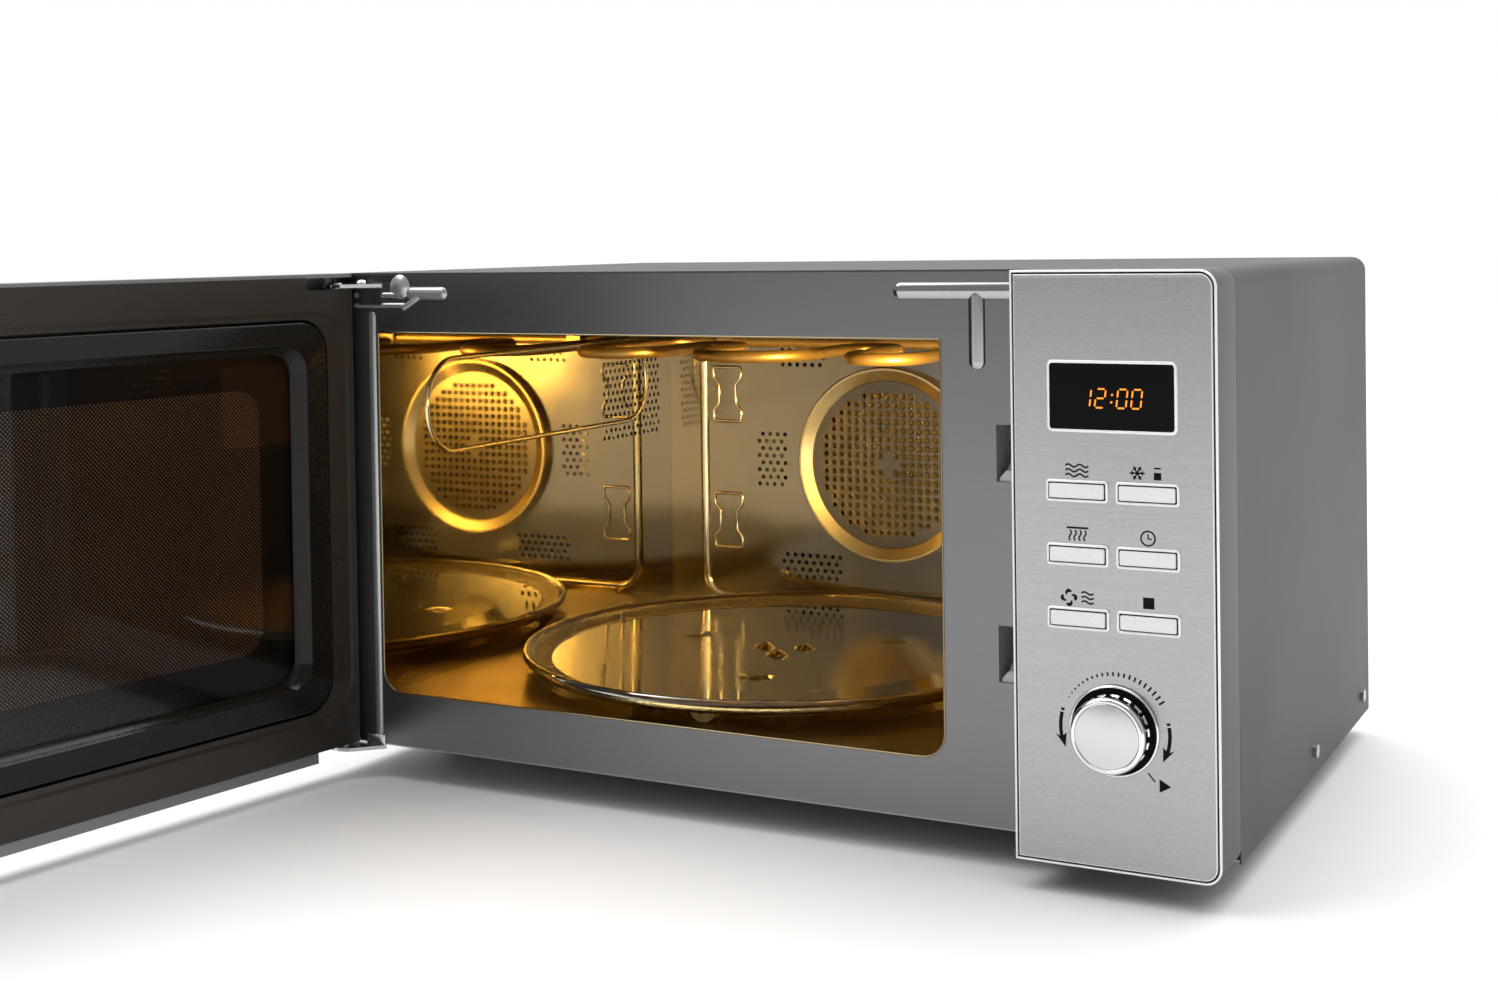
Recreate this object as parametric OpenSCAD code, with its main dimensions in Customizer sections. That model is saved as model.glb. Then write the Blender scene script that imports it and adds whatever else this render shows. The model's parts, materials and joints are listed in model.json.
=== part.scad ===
/* [Cabinet] */
// Width of the cabinet
cab_w = 520; // [480:1:640]
// Height of the cabinet above its feet
cab_h = 276; // [262:1:340]
// Depth from the front plate to the rear edge of the cover
cab_d = 338; // [325:1:440]
// Thickness of the pressed sheet parts
sheet_t = 0.8; // [0.6:0.1:1.2]
// Radius of the cover's two top edges
corner_r = 8; // [5:1:12]
// Height of the feet
foot_h = 14; // [8:1:24]
// Radius of the feet
foot_r = 12; // [8:1:16]
// Distance of the feet from the cabinet's sides
foot_inset = 40; // [25:1:60]
// Distance of the front feet behind the front plate
foot_setback = 68; // [40:1:90]

/* [Cavity] */
// Front plate left of the cavity opening
margin_left = 34; // [30:1:50]
// Front plate between the opening and the control panel
margin_right = 44; // [42:1:60]
// Front plate below the opening
margin_bottom = 36; // [34:1:50]
// Front plate above the opening
margin_top = 34; // [32:1:50]
// Radius of the opening's bottom corners
opening_r = 13; // [5:1:25]
// Space between the cavity's back wall and the rear edge of the cover
back_gap = 8; // [7:1:20]
// Depth of the round recess under the turntable
recess_drop = 14; // [13:1:16]

/* [Turntable] */
// Clearance from the glass tray to the nearest cavity wall
tray_clear = 7; // [4:1:20]
// Thickness of the glass tray
tray_t = 5; // [4:0.5:7]
// Height of the tray's rim above its plate
rim_h = 6.5; // [5:0.5:12]
// Radius of the circle that the rollers run on
track_r = 97; // [80:1:110]
// Radius of a roller
roller_r = 8; // [7:0.5:8.5]

/* [Control panel] */
// Width of the control panel
panel_w = 97; // [92:1:120]
// How far the panel stands in front of the front plate
panel_t = 22.8; // [21:0.1:30]
// How far the panel moulding wraps back over the cabinet
panel_wrap = 12.7; // [8:0.1:20]
// Wall of the panel and door mouldings
mould_t = 2.2; // [1.8:0.1:3]
// Width of the display window
display_w = 59; // [40:1:70]
// Height of the display window
display_h = 31; // [20:1:34]
// Width of a button's frame
button_w = 29.7; // [20:0.1:31]
// Height of a button's frame
button_h = 10.4; // [9:0.1:14]
// Distance between the two columns of buttons
button_dx = 33; // [31.5:0.5:36]
// Distance between the rows of buttons
button_dz = 29.4; // [20:0.1:30]
// Travel of a button
button_travel = 1; // [0.5:0.1:1.2]
// Radius of the selector knob
knob_r = 17.6; // [12:0.1:20]
// How far the knob stands in front of the panel
knob_t = 13; // [10:0.5:20]

/* [Door] */
// How far open the door is drawn
door_open = 98.6; // [0:0.1:103]
// Distance of the hinge axis from the cabinet's side
hinge_inset = 11.5; // [11:0.1:14]
// Distance of the hinge axis in front of the front plate
hinge_reach = 9.2; // [9.1:0.1:11]
// Gap between the closed door and the control panel
door_gap = 1.5; // [1:0.1:3]
// Radius of the hinge pins
hinge_pin_r = 3; // [2:0.1:4]
// Distance between the two latch hooks
latch_pitch = 97; // [80:1:110]
// Distance between the handle's two posts
handle_l = 160; // [100:1:190]
// Distance of the handle bar's centre in front of the door
handle_reach = 34; // [25:1:45]
// Radius of the handle bar
handle_r = 7; // [5:0.5:9]

/* [Hidden] */
$fn = 64;

// Clearances
fit = 0.1;       // pieces that seat on or in one another
slip = 0.3;      // pieces that move past one another
run = 0.05;      // radial clearance of a pin or a shaft in its bore
lift = 0.3;      // rollers above their track and below the tray

// Cabinet box
x_l = -cab_w / 2;
x_r = cab_w / 2;
z_b = foot_h;
z_t = foot_h + cab_h;

// Cavity opening, floor and back
ox0 = x_l + margin_left;
ox1 = x_r - panel_w - margin_right;
oz0 = z_b + margin_bottom;
oz1 = z_t - margin_top;
omx = (ox0 + ox1) / 2;
omz = (oz0 + oz1) / 2;
floor_z = oz0 - 1;
ceiling_z = oz1 + 3;
back_y = cab_d - back_gap;
tube_r = 3.75;
tube_z = ceiling_z - 24;
cav_y0 = sheet_t + fit;
mid_y = (cav_y0 + back_y) / 2;
track_z = floor_z - recess_drop;
plate_z0 = z_b + 6;
base_y0 = 16;

// Turntable
tray_r = min(ox1 - ox0, back_y - cav_y0) / 2 - tray_clear;
roller_z = track_z + lift + roller_r;
tray_z = roller_z + roller_r + lift;
recess_r = min(track_r + 53, tray_r - 7.5);
hot_z = omz - 2;

// Control panel
px0 = x_r - panel_w;
pmx = (px0 + x_r) / 2;
face_y = -panel_t;
fascia_t = 0.6;
rim_w = 3.4;
display_z = z_t - 58;
button_z0 = z_t - 101.6;
knob_z = z_b + 65.5;
board_y = face_y + 12;

// Latch slots
latch_x0 = px0 - 15.5;
latch_x1 = px0 - 2.2;
latch_h = 27.6;
hook_x = latch_x0 + 4.5;
hook_t = 3;

// Hinge axis and the closed door
hinge_x = x_l + hinge_inset;
hinge_y = -hinge_reach;
nose_r = hinge_reach - 0.4;
door_y0 = face_y;
steel_y = hinge_y + 7.1;
door_x0 = hinge_x - nose_r;
door_x1 = px0 - door_gap;
door_z0 = z_b + 0.5;
door_z1 = z_t;
steel_x0 = hinge_x - 5.3;
steel_x1 = door_x1 - 4;
steel_z0 = z_b + 6.8;
steel_z1 = z_t - 1.9;
pin_z1 = z_t - 8.7;
pin_z0 = z_b + 7.5;
hinge_slot_x = hinge_x + 28;
choke_depth = 11;

// Component bay between the cavity and the cover
bay_x0 = ox1 + sheet_t;
fan_x = (bay_x0 + x_r) / 2;
fan_z = z_t - 80;
fan_hole_r = 52;
convection_hole_r = 58;
housing_y = back_y + sheet_t;

// Solid box between two corners
module block(a, b) {
    translate(a) cube(b - a);
}

// Shape drawn in X and Z, made into a sheet between y0 and y1
module slab(y0, y1) {
    translate([0, y1, 0]) rotate([90, 0, 0]) linear_extrude(y1 - y0) children();
}

// Rectangle with round corners
module rrect(x0, z0, x1, z1, r) {
    translate([x0 + r, z0]) square([x1 - x0 - 2 * r, z1 - z0]);
    translate([x0, z0 + r]) square([x1 - x0, z1 - z0 - 2 * r]);
    for (x = [x0 + r, x1 - r], z = [z0 + r, z1 - r]) translate([x, z]) circle(r);
}

module rod_y(x, z, y0, y1, r) {
    translate([x, y0, z]) rotate([-90, 0, 0]) cylinder(h = y1 - y0, r = r);
}

module rod_x(y, z, x0, x1, r) {
    translate([x0, y, z]) rotate([0, 90, 0]) cylinder(h = x1 - x0, r = r);
}

module rod_z(x, y, z0, z1, r) {
    translate([x, y, z0]) cylinder(h = z1 - z0, r = r);
}

// Turns the closed door's pieces to the drawn opening angle
module door_swing() {
    translate([hinge_x, hinge_y, 0])
        rotate([0, 0, -door_open]) translate([-hinge_x, -hinge_y, 0]) children();
}

// Cabinet ------------------------------------------------------------------

// Cross-section of the cover: two sides and a top with rounded edges
module cover_section(grow) {
    difference() {
        rrect(x_l - grow, z_b - 2 * corner_r, x_r + grow, z_t + grow, corner_r + grow);
        translate([x_l - 1, z_b - 3 * corner_r]) square([cab_w + 2, 3 * corner_r]);
    }
}

module outer_cover() {
    vent_w = 3;
    vent_l = 26;
    color("dimgray") difference() {
        slab(0, cab_d) difference() {
            cover_section(0);
            cover_section(-sheet_t);
        }
        block([px0 - fit, -1, z_b - 1], [x_r + 1, panel_wrap + fit, z_t + 1]);
        for (i = [0:11], j = [0:1])
            translate([x_l - 1, 200 + 9 * i, z_b + 60 + 40 * j]) cube([3, vent_w, vent_l]);
        for (y = [cab_d / 2 + 8, cab_d - 24]) rod_x(y, z_b + 13, x_l - 1, x_r + 1, 1.7);
    }
}

// Screws that hold the cover, the rear panel and the fan cover
module cabinet_screws() {
    shank_r = 1.6;
    head_r = 3.6;
    head_t = 2;
    color("lightgray") {
        for (y = [cab_d / 2 + 8, cab_d - 24]) {
            rod_x(y, z_b + 13, x_r - 4, x_r + 0.01, shank_r);
            rod_x(y, z_b + 13, x_r + 0.01, x_r + head_t, head_r);
            rod_x(y, z_b + 13, x_l - 0.01, x_l + 4, shank_r);
            rod_x(y, z_b + 13, x_l - head_t, x_l - 0.01, head_r);
        }
        for (x = [x_l + 20, omx - 150, omx + 150, x_r - 20])
            rod_y(x, z_t - 10, cab_d - 1, cab_d - 1 + head_t, head_r);
    }
}

module base_plate() {
    slot_w = 3;
    color("silver") difference() {
        union() {
            block([x_l + 1, base_y0, z_b], [x_r - 1, cab_d - 2, z_b + 1]);
            block([x_l + 1, base_y0, z_b], [px0 - 1, base_y0 + 1, z_b + 7]);
            block([x_l + 1, cav_y0, z_b + 6], [px0 - 1, base_y0 + 1, z_b + 7]);
            block([x_l + 1, cav_y0, z_b + 6], [px0 - 1, cav_y0 + 1, z_b + 14]);
        }
        for (i = [0:9])
            block([bay_x0 + 34 + 8 * i, 120, z_b - 1], [bay_x0 + 34 + slot_w + 8 * i, 150, z_b + 2]);
    }
}

module feet() {
    color("black") for (x = [x_l + foot_inset, x_r - foot_inset], y = [foot_setback, cab_d - 40])
        translate([x, y, 0]) difference() {
            rotate_extrude() polygon([[0, 0], [foot_r - 2, 0], [foot_r, 2], [foot_r, z_b], [0, z_b]]);
            translate([0, 0, -1]) cylinder(h = 4, r = 4);
        }
}

module front_plate() {
    plate_r = corner_r - sheet_t - fit;
    behind_x = x_r - mould_t - 2 * fit;
    behind_z = z_t - mould_t - 2 * fit;
    color("silver") slab(0, sheet_t) difference() {
        union() {
            intersection() {
                rrect(x_l + sheet_t + fit, plate_z0 - 2 * plate_r, px0 + 20, z_t - sheet_t - fit, plate_r);
                translate([x_l, plate_z0]) square([px0 - fit - x_l, cab_h]);
            }
            intersection() {
                rrect(px0 - 20, z_b, behind_x, behind_z, corner_r - mould_t);
                translate([px0 - 1, plate_z0]) square([panel_w, cab_h]);
            }
        }
        rrect(ox0, oz0, ox1, oz1, opening_r);
        translate([ox0, omz]) square([ox1 - ox0, oz1 - omz]);
        for (s = [-1, 1]) translate([latch_x0, omz + s * latch_pitch / 2 - latch_h / 2])
            square([latch_x1 - latch_x0, latch_h]);
        translate([px0 + 14, z_b + 14]) square([panel_w - 28, cab_h - 28]);
    }
}

module rear_panel() {
    color("gray") slab(cab_d - 1.8, cab_d - 1) difference() {
        intersection() {
            rrect(x_l + sheet_t + fit, z_b - 30, x_r - sheet_t - fit, z_t - sheet_t - fit,
                corner_r - sheet_t - fit);
            translate([x_l, z_b + 1 + fit]) square([cab_w, cab_h]);
        }
        rrect(omx - 96, hot_z - 91, omx + 96, hot_z + 91, 25);
        for (i = [0:11], j = [0:4]) translate([fan_x - 46 + 8 * i, fan_z - 44 + 18 * j]) square([4, 13]);
        translate([fan_x + 30, z_b + 30]) circle(8);
    }
}

// Bulge on the back that holds the convection motor
module rear_fan_cover() {
    depth = 46;
    half_w = 105;
    half_h = 100;
    y0 = cab_d - 1;
    color("gray") difference() {
        union() {
            slab(y0, y0 + sheet_t) rrect(omx - half_w, hot_z - half_h, omx + half_w, hot_z + half_h, 12);
            slab(y0, y0 + depth) rrect(omx - 90, hot_z - 85, omx + 90, hot_z + 85, 22);
        }
        slab(y0 - 1, y0 + depth - sheet_t)
            rrect(omx - 90 + sheet_t, hot_z - 85 + sheet_t,
                omx + 90 - sheet_t, hot_z + 85 - sheet_t, 22 - sheet_t);
        for (i = [0:15])
            block([omx - 62 + 8 * i, y0 + 10, hot_z + 80], [omx - 58 + 8 * i, y0 + 34, hot_z + 90]);
        for (i = [-7:7], j = [-2:2])
            translate([omx + 8 * i - 2, y0 + depth - 2, hot_z + 24 * j - 9]) cube([4, 4, 18]);
    }
}

// Pan behind the back wall that keeps the hot air in
module fan_housing() {
    depth = 30;
    half_w = 84;
    half_h = 79;
    color("silver") difference() {
        slab(housing_y + fit, housing_y + depth)
            rrect(omx - half_w, hot_z - half_h, omx + half_w, hot_z + half_h, 20);
        slab(housing_y - 1, housing_y + depth - sheet_t)
            rrect(omx - half_w + sheet_t, hot_z - half_h + sheet_t, omx + half_w - sheet_t,
                hot_z + half_h - sheet_t,
                20 - sheet_t);
        rod_y(omx, hot_z, housing_y, housing_y + depth + 1, 5);
        for (s = [-1, 1]) rod_y(omx + s * 8, hot_z + 65.5, housing_y, housing_y + depth + 1, 2.4 + fit);
    }
}

// Cavity -------------------------------------------------------------------

// Field of staggered round holes, drawn in two axes and centred on the origin
module hole_field(cols, rows, pitch, r) {
    for (i = [0:cols - 1], j = [0:rows - 1])
        translate([(i - (cols - 1) / 2 + (j % 2) / 2) * pitch, (j - (rows - 1) / 2) * pitch * 0.87])
            circle(r, $fn = 8);
}

module side_wall(x0, x1) {
    block([x0, cav_y0, floor_z - sheet_t], [x1, back_y - fit, ceiling_z + sheet_t]);
}

module cavity_left_wall() {
    color("silver") difference() {
        side_wall(ox0 - sheet_t, ox0);
        translate([ox0 - 2, back_y - 55, ceiling_z - 60]) rotate([90, 0, 90])
            linear_extrude(4) hole_field(13, 12, 5.8, 1.6);
    }
}

module cavity_right_wall() {
    color("silver") difference() {
        side_wall(ox1, ox1 + sheet_t);
        block([ox1 - 1, mid_y - 38, omz + 6], [ox1 + 2, mid_y + 22, omz + 56]);
        translate([ox1 - 1, 62, omz + 60]) rotate([90, 0, 90]) linear_extrude(4) hole_field(6, 6, 5.8, 1.6);
        for (y = [mid_y + 15, mid_y + 140]) rod_x(y, tube_z, ox1 - 1, ox1 + 2, tube_r + slip);
    }
}

module cavity_ceiling() {
    color("silver") block([ox0 + fit, cav_y0, ceiling_z], [ox1 - fit, back_y - fit, ceiling_z + sheet_t]);
}

// Floor with its round recess for the rollers
module cavity_floor() {
    slope = 10;
    color("silver") difference() {
        union() {
            block([ox0 + fit, cav_y0, floor_z - sheet_t], [ox1 - fit, back_y - fit, floor_z]);
            translate([omx, mid_y, track_z - sheet_t])
                cylinder(h = recess_drop, r1 = recess_r - slope + sheet_t, r2 = recess_r + sheet_t);
        }
        translate([omx, mid_y, track_z])
            cylinder(h = recess_drop + 0.01, r1 = recess_r - slope, r2 = recess_r);
        rod_z(omx, mid_y, track_z - 3, track_z + 1, 9);
    }
}

module cavity_back_wall() {
    color("silver") slab(back_y, back_y + sheet_t) difference() {
        translate([ox0 - sheet_t, floor_z - sheet_t])
            square([ox1 - ox0 + 2 * sheet_t, ceiling_z - floor_z + 2 * sheet_t]);
        translate([omx, hot_z]) circle(convection_hole_r);
        for (s = [-1, 1]) {
            translate([omx + s * 91.5, hot_z]) hole_field(4, 8, 5.8, 1.6);
            translate([omx + s * 61.5, hot_z - 74]) hole_field(8, 4, 5.8, 1.6);
            translate([omx + s * 66.5, hot_z + 72]) hole_field(6, 3, 5.8, 1.6);
        }
    }
}

// Dished ring and perforated disc over the convection fan
module fan_guard() {
    ring_r = 67;
    disc_r = 56;
    hole_pitch = 5.8;
    y1 = back_y - fit;
    color("silver") difference() {
        translate([omx, y1, hot_z]) rotate([90, 0, 0]) rotate_extrude()
            polygon([[0, 2.4], [disc_r + 1, 2.4], [ring_r - 2.5, 6], [ring_r - 1, 6], [ring_r, 5],
                [ring_r, 0], [ring_r - 0.9, 0], [ring_r - 0.9, 4.7], [ring_r - 1.3, 5.1], [ring_r - 2.3, 5.1],
                [disc_r + 1.2, 1.5], [0, 1.5]]);
        for (i = [-8:8], j = [-8:8])
            if (norm([i, j]) * hole_pitch < disc_r - 5 && abs(i) + abs(j) > 1)
                rod_y(omx + i * hole_pitch, hot_z + j * hole_pitch, y1 - 4, y1, 1.75, $fn = 6);
    }
}

// Heated tube: legs that run front to back, joined by half-round bends
module grill_element() {
    width = ox1 - ox0;
    back_run = mid_y + 140;
    end_r = 30;
    legs = [for (k = [-0.448, -0.28, -0.187, 0.033, 0.138, 0.262, 0.361]) round(omx + k * width)];
    turns = [for (d = [30, 70, 25, 67, 5, 67]) mid_y + d];
    color("darkgoldenrod") translate([0, 0, tube_z]) {
        for (i = [0:6]) {
            ya = i == 0 ? back_run - end_r : turns[i - 1];
            yb = i == 6 ? mid_y + 35 : turns[i];
            rod_y(legs[i], 0, min(ya, yb), max(ya, yb), tube_r);
        }
        for (i = [0:5]) translate([(legs[i] + legs[i + 1]) / 2, turns[i], 0])
            rotate([0, 0, i % 2 == 0 ? 180 : 0]) rotate_extrude(angle = 180)
                translate([(legs[i + 1] - legs[i]) / 2, 0]) circle(tube_r);
        translate([legs[0] + end_r, back_run - end_r, 0]) rotate([0, 0, 90])
            rotate_extrude(angle = 90) translate([end_r, 0]) circle(tube_r);
        rod_x(back_run, 0, legs[0] + end_r, ox1 + 22, tube_r);
        translate([legs[6] + 20, mid_y + 35, 0]) rotate([0, 0, 180])
            rotate_extrude(angle = 90) translate([20, 0]) circle(tube_r);
        rod_x(mid_y + 15, 0, legs[6] + 20, ox1 + 22, tube_r);
    }
}

// Hangers that hold the element below the ceiling
module grill_clips() {
    clip_w = 12;
    reach = ceiling_z - fit - tube_z;
    color("gray") for (p = [[omx - 110, mid_y + 140], [omx + 60, mid_y + 140]])
        translate([p[0], p[1], tube_z]) difference() {
            translate([-clip_w / 2, -7, -2]) cube([clip_w, 14, reach + 2]);
            translate([-clip_w, -5.8, tube_r + 1.5]) cube([2 * clip_w, 11.6, reach - tube_r - 2.7]);
            rotate([0, 90, 0]) cylinder(h = 4 * clip_w, r = tube_r + fit, center = true);
            translate([-clip_w, -tube_r - fit, -3]) cube([2 * clip_w, 2 * (tube_r + fit), 3]);
        }
}

module waveguide_cover() {
    color("tan") block([ox1 - 1.2, mid_y - 44, omz], [ox1 - fit, mid_y + 28, omz + 62]);
}

// Works in the component bay -----------------------------------------------

module waveguide() {
    x0 = bay_x0 + fit;
    x1 = bay_x0 + 34;
    color("silver") difference() {
        block([x0, mid_y - 42, omz + 2], [x1, mid_y + 60, omz + 60]);
        block([x0 - 1, mid_y - 40, omz + 4], [x1 - 1.2, mid_y + 58, omz + 58]);
        rod_x(mid_y + 30, omz + 31, x1 - 3, x1 + 1, 11);
    }
}

module magnetron() {
    x0 = bay_x0 + 34 + fit;
    y = mid_y + 30;
    z = omz + 31;
    color("silver") {
        rod_x(y, z, x0 - 24, x0, 10);
        block([x0, y - 42, z - 40], [x0 + 2, y + 42, z + 40]);
        rod_x(y, z, x0 + 2, x0 + 74, 20);
        for (i = [0:6]) block([x0 + 8 + 9 * i, y - 36, z - 34], [x0 + 9.5 + 9 * i, y + 36, z + 34]);
        block([x0 + 72, y - 42, z - 40], [x0 + 74, y + 42, z + 40]);
        block([x0 + 74, y - 16, z - 18], [x0 + 90, y + 16, z + 18]);
        for (s = [-1, 1]) block([x0 + 2, y + s * 40 - 2, z - 40], [x0 + 72, y + s * 40 + 2, z - 38]);
    }
}

module hv_transformer() {
    x0 = bay_x0 + 36;
    y0 = 160;
    z0 = z_b + 1;
    color("sienna") {
        block([x0 + 8, y0 - 12, z0 + 20], [x0 + 66, y0 + 82, z0 + 50]);
        difference() {
            block([x0, y0, z0], [x0 + 74, y0 + 70, z0 + 66]);
            block([x0 + 8, y0 - 1, z0 + 20], [x0 + 66, y0 + 71, z0 + 50]);
        }
    }
}

module hv_capacitor() {
    y0 = 262;
    can_r = 17;
    color("silver") {
        translate([bay_x0 + 62, y0, z_b + 1 + can_r]) rotate([-90, 0, 0]) linear_extrude(52) {
            translate([0, -can_r]) square([34, 2 * can_r]);
            circle(can_r);
            translate([34, 0]) circle(can_r);
        }
        for (x = [10, 24]) block([bay_x0 + 62 + x, y0 - 8, z_b + 15], [bay_x0 + 68 + x, y0, z_b + 19]);
    }
}

// Lamp in its ceramic holder, screwed outside the cavity's right wall
module cavity_lamp() {
    x0 = bay_x0 + fit;
    z = omz + 60;
    y = 62;
    color("wheat") {
        rod_x(y, z, x0 + 3, x0 + 22, 9);
        rod_x(y, z, x0 + 22, x0 + 44, 13);
        difference() {
            block([x0, y - 24, z - 24], [x0 + 34, y + 24, z + 24]);
            block([x0 - 1, y - 23, z - 23], [x0 + 33, y + 23, z + 23]);
        }
        rod_x(y, z, x0 + 33, x0 + 35, 14);
    }
}

module turntable_motor() {
    z1 = track_z - sheet_t - fit;
    depth = min(17, z1 - z_b - 2.2);
    color("silver") {
        rod_z(omx, mid_y, z1 - depth, z1, 24);
        rod_z(omx, mid_y, z1, track_z + 4, 3);
    }
}

module convection_motor() {
    y0 = housing_y + 30 + fit;
    y1 = min(y0 + 18, cab_d + 42);
    color("gray") difference() {
        union() {
            rod_y(omx, hot_z, y0, y1, 26);
            block([omx - 40, y0, hot_z - 8], [omx + 40, y0 + 2, hot_z + 8]);
        }
        rod_y(omx, hot_z, y0 - 1, y0 + 10, 2.5 + run);
    }
}

// Ring element around the convection fan
module convection_heater() {
    color("darkgoldenrod") translate([omx, housing_y + 14, hot_z]) rotate([90, 0, 0])
        rotate_extrude() translate([66, 0]) circle(3.2);
    color("darkgoldenrod") for (s = [-1, 1])
        rod_y(omx + s * 8, hot_z + 65.5, housing_y + 14, housing_y + 44, 2.4);
}

module cooling_fan_motor() {
    y1 = cab_d - 1.8 - fit;
    y0 = y1 - 34;
    color("dimgray") difference() {
        union() {
            slab(y1 - 3, y1) difference() {
                rrect(fan_x - 60, fan_z - 60, fan_x + 60, fan_z + 60, 6);
                translate([fan_x, fan_z]) circle(fan_hole_r + 2);
            }
            slab(y1 - 26, y1 - 3) difference() {
                translate([fan_x, fan_z]) circle(fan_hole_r + 4);
                translate([fan_x, fan_z]) circle(fan_hole_r + 2);
            }
            block([fan_x - 62, y0, fan_z - 7], [fan_x + 62, y0 + 3, fan_z + 7]);
            for (s = [-1, 1])
                block([fan_x + s * 58 - 2, y0 + 3, fan_z - 7], [fan_x + s * 58 + 2, y1 - 3, fan_z + 7]);
            block([fan_x - 26, y0 - 24, fan_z - 26], [fan_x + 26, y0, fan_z + 26]);
        }
        rod_y(fan_x, fan_z, y0 - 10, y0 + 4, 2 + run);
    }
}

// Plastic block behind the front plate with a pocket for each hook
module latch_bracket() {
    x0 = latch_x0 - 4;
    x1 = latch_x1 + 6;
    color("gainsboro") difference() {
        block([x0, sheet_t + fit, omz - 74], [x1, 30, omz + 74]);
        for (s = [-1, 1]) translate([0, 0, omz + s * latch_pitch / 2]) difference() {
            block([latch_x0, 0, -latch_h / 2], [latch_x1, 27, latch_h / 2]);
            translate([hook_x - 1, 0, -latch_h / 2]) rotate([90, 0, 90]) linear_extrude(hook_t + 2)
                polygon([[2, 0], [2, 3], [9, latch_h / 2 - 5.6], [10, latch_h / 2 - 5.6], [10, 0]]);
        }
        block([x0 + 4, 4, omz - 28], [x1 + 1, 31, omz + 28]);
    }
}

module interlock_switches() {
    x0 = latch_x1 + 6 + fit;
    color("black") for (z = [-60, 36, 60]) {
        block([x0, 8, omz + z - 8], [x0 + 10, 28, omz + z + 8]);
        block([x0 + 4, 5, omz + z - 2], [x0 + 7, 8, omz + z + 2]);
    }
}

// Outline of a hinge plate: a round end about the pin and an arm to the cabinet
module hinge_plate(side) {
    translate([hinge_x, hinge_y]) circle(7.6);
    polygon([[hinge_x - 7.6, hinge_y], [hinge_x + 3, hinge_y - 7], [hinge_x + 8, hinge_y - 6],
        [hinge_x + side, -0.5], [hinge_x + side, 12], [hinge_x - 2, 12], [hinge_x - 4, hinge_y + 6]]);
}

module upper_hinge() {
    z0 = pin_z1 + 0.5;
    arm = 26;
    color("silver") {
        intersection() {
            translate([0, 0, z0]) linear_extrude(2) hinge_plate(arm);
            block([x_l, -30, z0], [hinge_x + arm, -fit, z0 + 2]);
        }
        rod_z(hinge_x, hinge_y, z0 - 12, z0, hinge_pin_r);
        rod_z(hinge_x + 15, hinge_y + 4.6, z0 + 2, z0 + 3.2, 3);
        block([hinge_x + 10, -1.2, z0 - 10], [hinge_x + arm, -fit, z0]);
    }
}

module lower_hinge() {
    z1 = pin_z0 - 2.5;
    arm = 23;
    color("silver") {
        intersection() {
            translate([0, 0, z1 - 2]) linear_extrude(2) hinge_plate(arm);
            block([x_l, -30, z1 - 2], [hinge_x + arm, -fit, z1]);
        }
        rod_z(hinge_x, hinge_y, z1, z1 + 14, hinge_pin_r);
        block([hinge_x + 10, -1.2, z1], [hinge_x + arm, -fit, z1 + 6]);
    }
}

// Control panel ------------------------------------------------------------

// The panel's outline, square on the door's side and round on the other
module panel_outline(inset) {
    r = corner_r - inset * 0.8;
    intersection() {
        rrect(px0 - 20, z_b + inset, x_r - inset, z_t - inset, r);
        translate([px0 + inset, z_b]) square([panel_w, cab_h]);
    }
}

module button_place(i) {
    translate([pmx + (i % 2 - 0.5) * button_dx, 0, button_z0 - floor(i / 2) * button_dz]) children();
}

module panel_bezel() {
    floor_y = face_y + fascia_t;
    color("dimgray") for (x = [px0 + 10, x_r - 10], z = [z_b + 30, z_t - 30])
        rod_y(x, z, floor_y + 1, board_y, 3);
    color("dimgray") difference() {
        slab(face_y, panel_wrap) panel_outline(0);
        slab(face_y - 1, floor_y) panel_outline(rim_w - 1.4);
        slab(floor_y + mould_t, panel_wrap + 1) panel_outline(mould_t);
        block([px0 - 1, -fit, z_b - 1], [px0 + mould_t + 1, panel_wrap + 1, z_t + 1]);
        slab(face_y - 1, 0) rrect(pmx - display_w / 2 + 3, display_z - display_h / 2 + 3,
            pmx + display_w / 2 - 3,
            display_z + display_h / 2 - 3, 1);
        for (i = [0:5]) button_place(i) block([-12.4, face_y - 1, -3.2], [12.4, 0, 3.2]);
        rod_y(pmx, knob_z, face_y - 1, 0, 5);
    }
}

// Steel skin of the panel
module panel_fascia() {
    color("lightgray") slab(face_y, face_y + fascia_t - 0.02) difference() {
        panel_outline(rim_w);
        rrect(pmx - display_w / 2 - fit, display_z - display_h / 2 - fit, pmx + display_w / 2 + fit,
            display_z + display_h / 2 + fit, 2);
        for (i = [0:5]) translate([pmx + (i % 2 - 0.5) * button_dx, button_z0 - floor(i / 2) * button_dz])
            square([button_w - 2, button_h - 2], center = true);
        translate([pmx, knob_z]) circle(knob_r + 2);
    }
}

module display_window() {
    color("black") slab(face_y - 0.3, face_y + fascia_t - 0.02)
        rrect(pmx - display_w / 2, display_z - display_h / 2, pmx + display_w / 2,
            display_z + display_h / 2, 2);
}

// Thin bright frames around the buttons
module button_frames() {
    t = 1.2;
    color("white") for (i = [0:5]) button_place(i) slab(face_y - t, face_y - 0.02) difference() {
        rrect(-button_w / 2, -button_h / 2, button_w / 2, button_h / 2, 1.8);
        rrect(-button_w / 2 + 1.6, -button_h / 2 + 1.6, button_w / 2 - 1.6, button_h / 2 - 1.6, 0.6);
    }
}

module knob_ring() {
    color("white") translate([pmx, face_y - 0.02, knob_z]) rotate([90, 0, 0])
        rotate_extrude() polygon([[knob_r + 0.7, 0], [knob_r + 3.6, 0], [knob_r + 3, 1.2], [knob_r + 1.4,
            2.2],
            [knob_r + 0.7, 2.2]]);
}

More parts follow.
